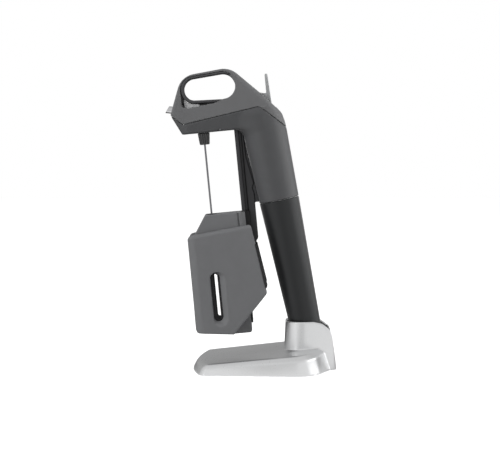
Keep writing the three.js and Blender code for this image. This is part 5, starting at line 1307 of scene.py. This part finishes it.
SPINE_PLAN = [(2.9, 15.6, 2.2), (SPINE_HALF_WIDTH, 13, 0.8), (SPINE_HALF_WIDTH, SPINE_REAR, 0.8)]
NEEDLE_HOLE = 3
HOLE_EDGE = 0.3
BUSH_RADIUS = 4.3
BUSH_RECESS = 1.2
KNUCKLE_RADIUS = 2.4
HINGE_BORE = 1.25
EAR_SHADE_FROM = 26.9
HINGE_TOP = -92
HINGE_END_GAP = 0.3
KNUCKLE_EDGE = 0.4
LUG_ROOT = 7
FRAME_LUG = 8
SECOND_LUG = -142.8
FRAME_STEP = 0.55
FRAME_BOX = ((-14.5, -17, -165.5), (14.5, 32, -67))
guide_side = rounded(GUIDE_SIDE)
guide_plan = rounded(mirrored(GUIDE_PLAN))
spine_side = rounded(SPINE_SIDE)
spine_plan = rounded(mirrored(SPINE_PLAN))


def clamp_form(x, y, z):
    """Guide block, spine and hinge lugs, bored for the needle and the pins"""
    guide = meet(outside(y, z, guide_side), outside(x, y, guide_plan), GUIDE_EDGE)
    spine = meet(outside(y, z, spine_side), outside(x, y, spine_plan), SPINE_EDGE)
    heel = np.maximum(HEEL_FRONT - y, y - HEEL_REAR)
    heel = meet(heel, np.maximum(SPINE_FOOT - z, z - HEEL_TOP), HEEL_EDGE)
    heel = meet(heel, np.abs(x) - SPINE_HALF_WIDTH, HEEL_SIDE_EDGE)
    body = np.minimum(merge(guide, spine, GUIDE_FILLET), heel)
    pin = np.hypot(np.abs(x) - HINGE_X, y - HINGE_Y)
    bar = np.maximum(LUG_ROOT - np.abs(x), np.abs(x) - HINGE_X)
    bar = np.maximum(bar, np.abs(y - HINGE_Y) - KNUCKLE_RADIUS)
    lug = np.minimum(pin - KNUCKLE_RADIUS, bar)
    for top in (HINGE_TOP, SECOND_LUG):
        level = np.abs(z - top + FRAME_LUG / 2) - FRAME_LUG / 2
        body = np.minimum(body, meet(lug, level, KNUCKLE_EDGE))
    body = without(body, np.maximum(pin - HINGE_BORE, z - HINGE_TOP - HINGE_END_GAP))
    needle_way = np.hypot(x, y)
    body = without(body, needle_way - NEEDLE_HOLE, HOLE_EDGE)
    return without(body, np.maximum(needle_way - BUSH_RADIUS, GUIDE_TOP - BUSH_RECESS - z))


clamp = sculpted("sliding_clamp", clamp_form, FRAME_BOX, FRAME_STEP, DISPENSER)
clamp_grey = finish("clamp_satin_grey", (0.148, 0.15, 0.155), 0.5, mottle=0.03, grain=0.0003, relief=0.08)
dress(clamp, clamp_grey, "clamp", ["clamp_frame"])
# Faces at the rear of the ears take the black: painted shade for the dark gap between the ears and the rail.
clamp.data.materials.append(plain_black)
from_stand = DISPENSER.inverted()
for face in clamp.data.polygons:
    place = from_stand @ (face.center / MM)
    if place.y > EAR_SHADE_FROM and place.z > GUIDE_FOOT:
        face.material_index = 1
BUSH_PROFILE = [(1.2, -75.3), (2.7, -75.3, 0.3), (2.7, -68.2), (4, -68.2), (4, -66.8, 0.4), (1.2, -66.8, 0.4)]
BUSH_SIDES = 48
bush = turned("needle_guide_bush", rounded(BUSH_PROFILE), DISPENSER, BUSH_SIDES)
dress(bush, plain_black, "clamp", ["needle_bush"])
for name in ("hinge_pin_right", "hinge_pin_left"):
    kept(name, steel)

GUIDE_STRIP_HALF_WIDTH = 1
GUIDE_STRIP_HALF_DEPTH = 0.75
GUIDE_STRIP_PROUD = 0.65
GUIDE_STRIP_X = SPINE_HALF_WIDTH - GUIDE_STRIP_HALF_WIDTH
GUIDE_STRIP_Y = SPINE_REAR + GUIDE_STRIP_PROUD
GUIDE_STRIP_FOOT = -157
GUIDE_STRIP_TOP = -96
GUIDE_STRIP_STEP = 0.4
GUIDE_STRIP_BOX = ((6.5, 24, -157.5), (9.2, 26, -95.5))
STRIP_EDGE = 0.4


def guide_strip_form(side):
    """The form of one strip on the spine's rear face, rounded all along"""
    def strip(x, y, z):
        beside = np.abs(side * x - GUIDE_STRIP_X) - GUIDE_STRIP_HALF_WIDTH
        across = meet(beside, np.abs(y - GUIDE_STRIP_Y) - GUIDE_STRIP_HALF_DEPTH, STRIP_EDGE)
        return meet(across, np.maximum(GUIDE_STRIP_FOOT - z, z - GUIDE_STRIP_TOP), STRIP_EDGE)
    return strip


def paired(name, form, box, step, side):
    """A piece of one side, drawn inside the box given for the right side"""
    (x0, *low), (x1, *high) = box
    nearer, further = sorted((side * x0, side * x1))
    return sculpted(name, form, ((nearer, *low), (further, *high)), step, DISPENSER)


for word, side in SIDES:
    form = guide_strip_form(side)
    strip = paired(f"slide_strip_{word}", form, GUIDE_STRIP_BOX, GUIDE_STRIP_STEP, side)
    dress(strip, rubber, "clamp", [f"guide_strip_{word}"])

# Paddles: two grey plates that swing on the hinge pins to hold a bottle's neck. Each has a rolled front
# edge, a flared slot, a lip turned in at the front, a rubber pad inside and a black strip behind.
PADDLE_INNER = 14.3
PADDLE_OUTER = 18
PADDLE_FRONT = -20.8
PADDLE_RAKE = 0.7
PADDLE_SIDE = [
    (PADDLE_FRONT, -82.2, 3.4),
    (30.6, -77.4, 2.6),
    (38.55, -133.65, 3.2),
    (9.2, -164.1, 1.2),
    (PADDLE_FRONT - PADDLE_RAKE, -160.4, 3.6),
]
FRONT_ROLL = 7
FRONT_ROLL_DEPTH = 3.1
TOP_ROLL = 3.4
TOP_ROLL_DEPTH = 1.8
BEND_BEFORE_REAR = 8
BEND_SLOPE = 0.12
BEND_SOFT = 2
PADDLE_EDGE = 1.1
INNER_EDGE = 0.5
LIP_INNER = 12.3
LIP_ROOT = 1.5
LIP_FRONT = -20.2
LIP_REAR = -17.7
LIP_FOOT = -156.5
LIP_TOP = -85
LIP_FILLET = 1
PADDLE_SLOT = {"half": 3.75, "middle": -1.85, "low": -152.4, "high": -113.8}
SLOT_MOUTH = {"half": 6.1, "middle": -0.05, "low": -156.8, "high": -112.6}
SLOT_LIP = 0.25
FLARE_FROM = 15.2
FLARE_MOST = 1.2
PADDLE_KNUCKLE = 12
KNUCKLE_NECK_HALF = 1.3
KNUCKLE_ROOT = 1
KNUCKLE_TOPS = (-100.4, -130.4)
PADDLE_STEP = 0.5
PADDLE_BOX = ((9, -22, -165), (18.2, 39.2, -77))
paddle_line = rounded(PADDLE_SIDE)
top_front, top_rear, rear_corner = (np.array(corner[:2]) for corner in PADDLE_SIDE[:3])


def beyond(y, z, start, end):
    """How far a point is to the left of the way from one corner to another"""
    way = (end - start) / np.linalg.norm(end - start)
    return (z - start[1]) * way[0] - (y - start[0]) * way[1]


def slot_outline(y, z, half, middle, low, high):
    """An upright slot with round ends"""
    return np.hypot(y - middle, z - np.clip(z, low + half, high - half)) - half


def paddle_form(side):
    """The form of the paddle on one side"""
    def paddle(x, y, z):
        x = side * x
        from_front = np.clip(1 - (y - PADDLE_FRONT) / FRONT_ROLL, 0, 1)
        from_top = np.clip(1 + beyond(y, z, top_front, top_rear) / TOP_ROLL, 0, 1)
        past_bend = beyond(y, z, top_rear, rear_corner) + BEND_BEFORE_REAR
        bend = BEND_SLOPE * (past_bend + np.hypot(past_bend, BEND_SOFT)) / 2
        sag = FRONT_ROLL_DEPTH * from_front**2 + TOP_ROLL_DEPTH * from_top**2 + bend
        plate = meet(outside(y, z, paddle_line), x - PADDLE_OUTER + sag, PADDLE_EDGE)
        plate = meet(plate, PADDLE_INNER - x, INNER_EDGE)
        lip = np.maximum(LIP_INNER - x, x - PADDLE_INNER - LIP_ROOT)
        lip = meet(lip, np.maximum(LIP_FRONT - y, y - LIP_REAR), INNER_EDGE)
        lip = meet(lip, np.maximum(LIP_FOOT - z, z - LIP_TOP), INNER_EDGE)
        plate = merge(plate, lip, LIP_FILLET)
        flare = np.clip((x - FLARE_FROM) / (PADDLE_OUTER - FLARE_FROM), 0, FLARE_MOST)
        here = {size: inner + (SLOT_MOUTH[size] - inner) * flare for size, inner in PADDLE_SLOT.items()}
        plate = without(plate, slot_outline(y, z, **here), SLOT_LIP)
        pin = np.hypot(x - HINGE_X, y - HINGE_Y)
        neck = np.maximum(HINGE_X - x, x - PADDLE_INNER - KNUCKLE_ROOT)
        neck = np.maximum(np.abs(y - HINGE_Y) - KNUCKLE_NECK_HALF, neck)
        for height in KNUCKLE_TOPS:
            level = np.abs(z - height + PADDLE_KNUCKLE / 2) - PADDLE_KNUCKLE / 2
            plate = np.minimum(plate, meet(np.minimum(pin - KNUCKLE_RADIUS, neck), level, KNUCKLE_EDGE))
        return without(plate, pin - HINGE_BORE)
    return paddle


PAD_LINE = [(-16, -157.5, 3), (11, -157.5, 3), (11, -101, 3), (-16, -101, 3)]
PAD_INNER = 12.2
PAD_OUTER = 14.0
PAD_EDGE = 0.5
PAD_SLOT = {"half": 1.6, "middle": -1.6, "low": -151.7, "high": -114.6}
PAD_SLOT_EDGE = 0.3
PAD_STEP = 0.42
PAD_BOX = ((12, -16.5, -158), (14.2, 11.5, -100.5))
STRIP_LINE = [(32.7, -93.3), (34.6, -94.6, 0.8), (39.4, -126.4, 0.8), (38.9, -129.2, 0.6), (37.5, -129)]
STRIP_INNER = 15.0
STRIP_OUTER = 17.3
STRIP_STEP = 0.35
STRIP_BOX = ((14.8, 33, -130), (17.5, 40, -93))
pad_line = rounded(PAD_LINE)
strip_line = rounded(STRIP_LINE)


def pad_form(side):
    """The rubber pad, with its own narrower slot"""
    def pad(x, y, z):
        faces = np.maximum(PAD_INNER - side * x, side * x - PAD_OUTER)
        plate = meet(outside(y, z, pad_line), faces, PAD_EDGE)
        return without(plate, slot_outline(y, z, **PAD_SLOT), PAD_SLOT_EDGE)
    return pad


def edge_strip_form(side):
    """The strip along the paddle's rear edge"""
    def strip(x, y, z):
        faces = np.maximum(STRIP_INNER - side * x, side * x - STRIP_OUTER)
        return meet(outside(y, z, strip_line), faces, STRIP_EDGE)
    return strip


for word, side in SIDES:
    body = f"paddle_{word}"
    plate = paired(f"neck_paddle_{word}", paddle_form(side), PADDLE_BOX, PADDLE_STEP, side)
    dress(plate, clamp_grey, body, [f"clamp_paddle_{word}"])
    pad = paired(f"neck_pad_{word}", pad_form(side), PAD_BOX, PAD_STEP, side)
    dress(pad, rubber, body, [f"paddle_pad_{word}"])
    strip = paired(f"edge_strip_{word}", edge_strip_form(side), STRIP_BOX, STRIP_STEP, side)
    dress(strip, rubber, body, [f"paddle_strip_{word}"])
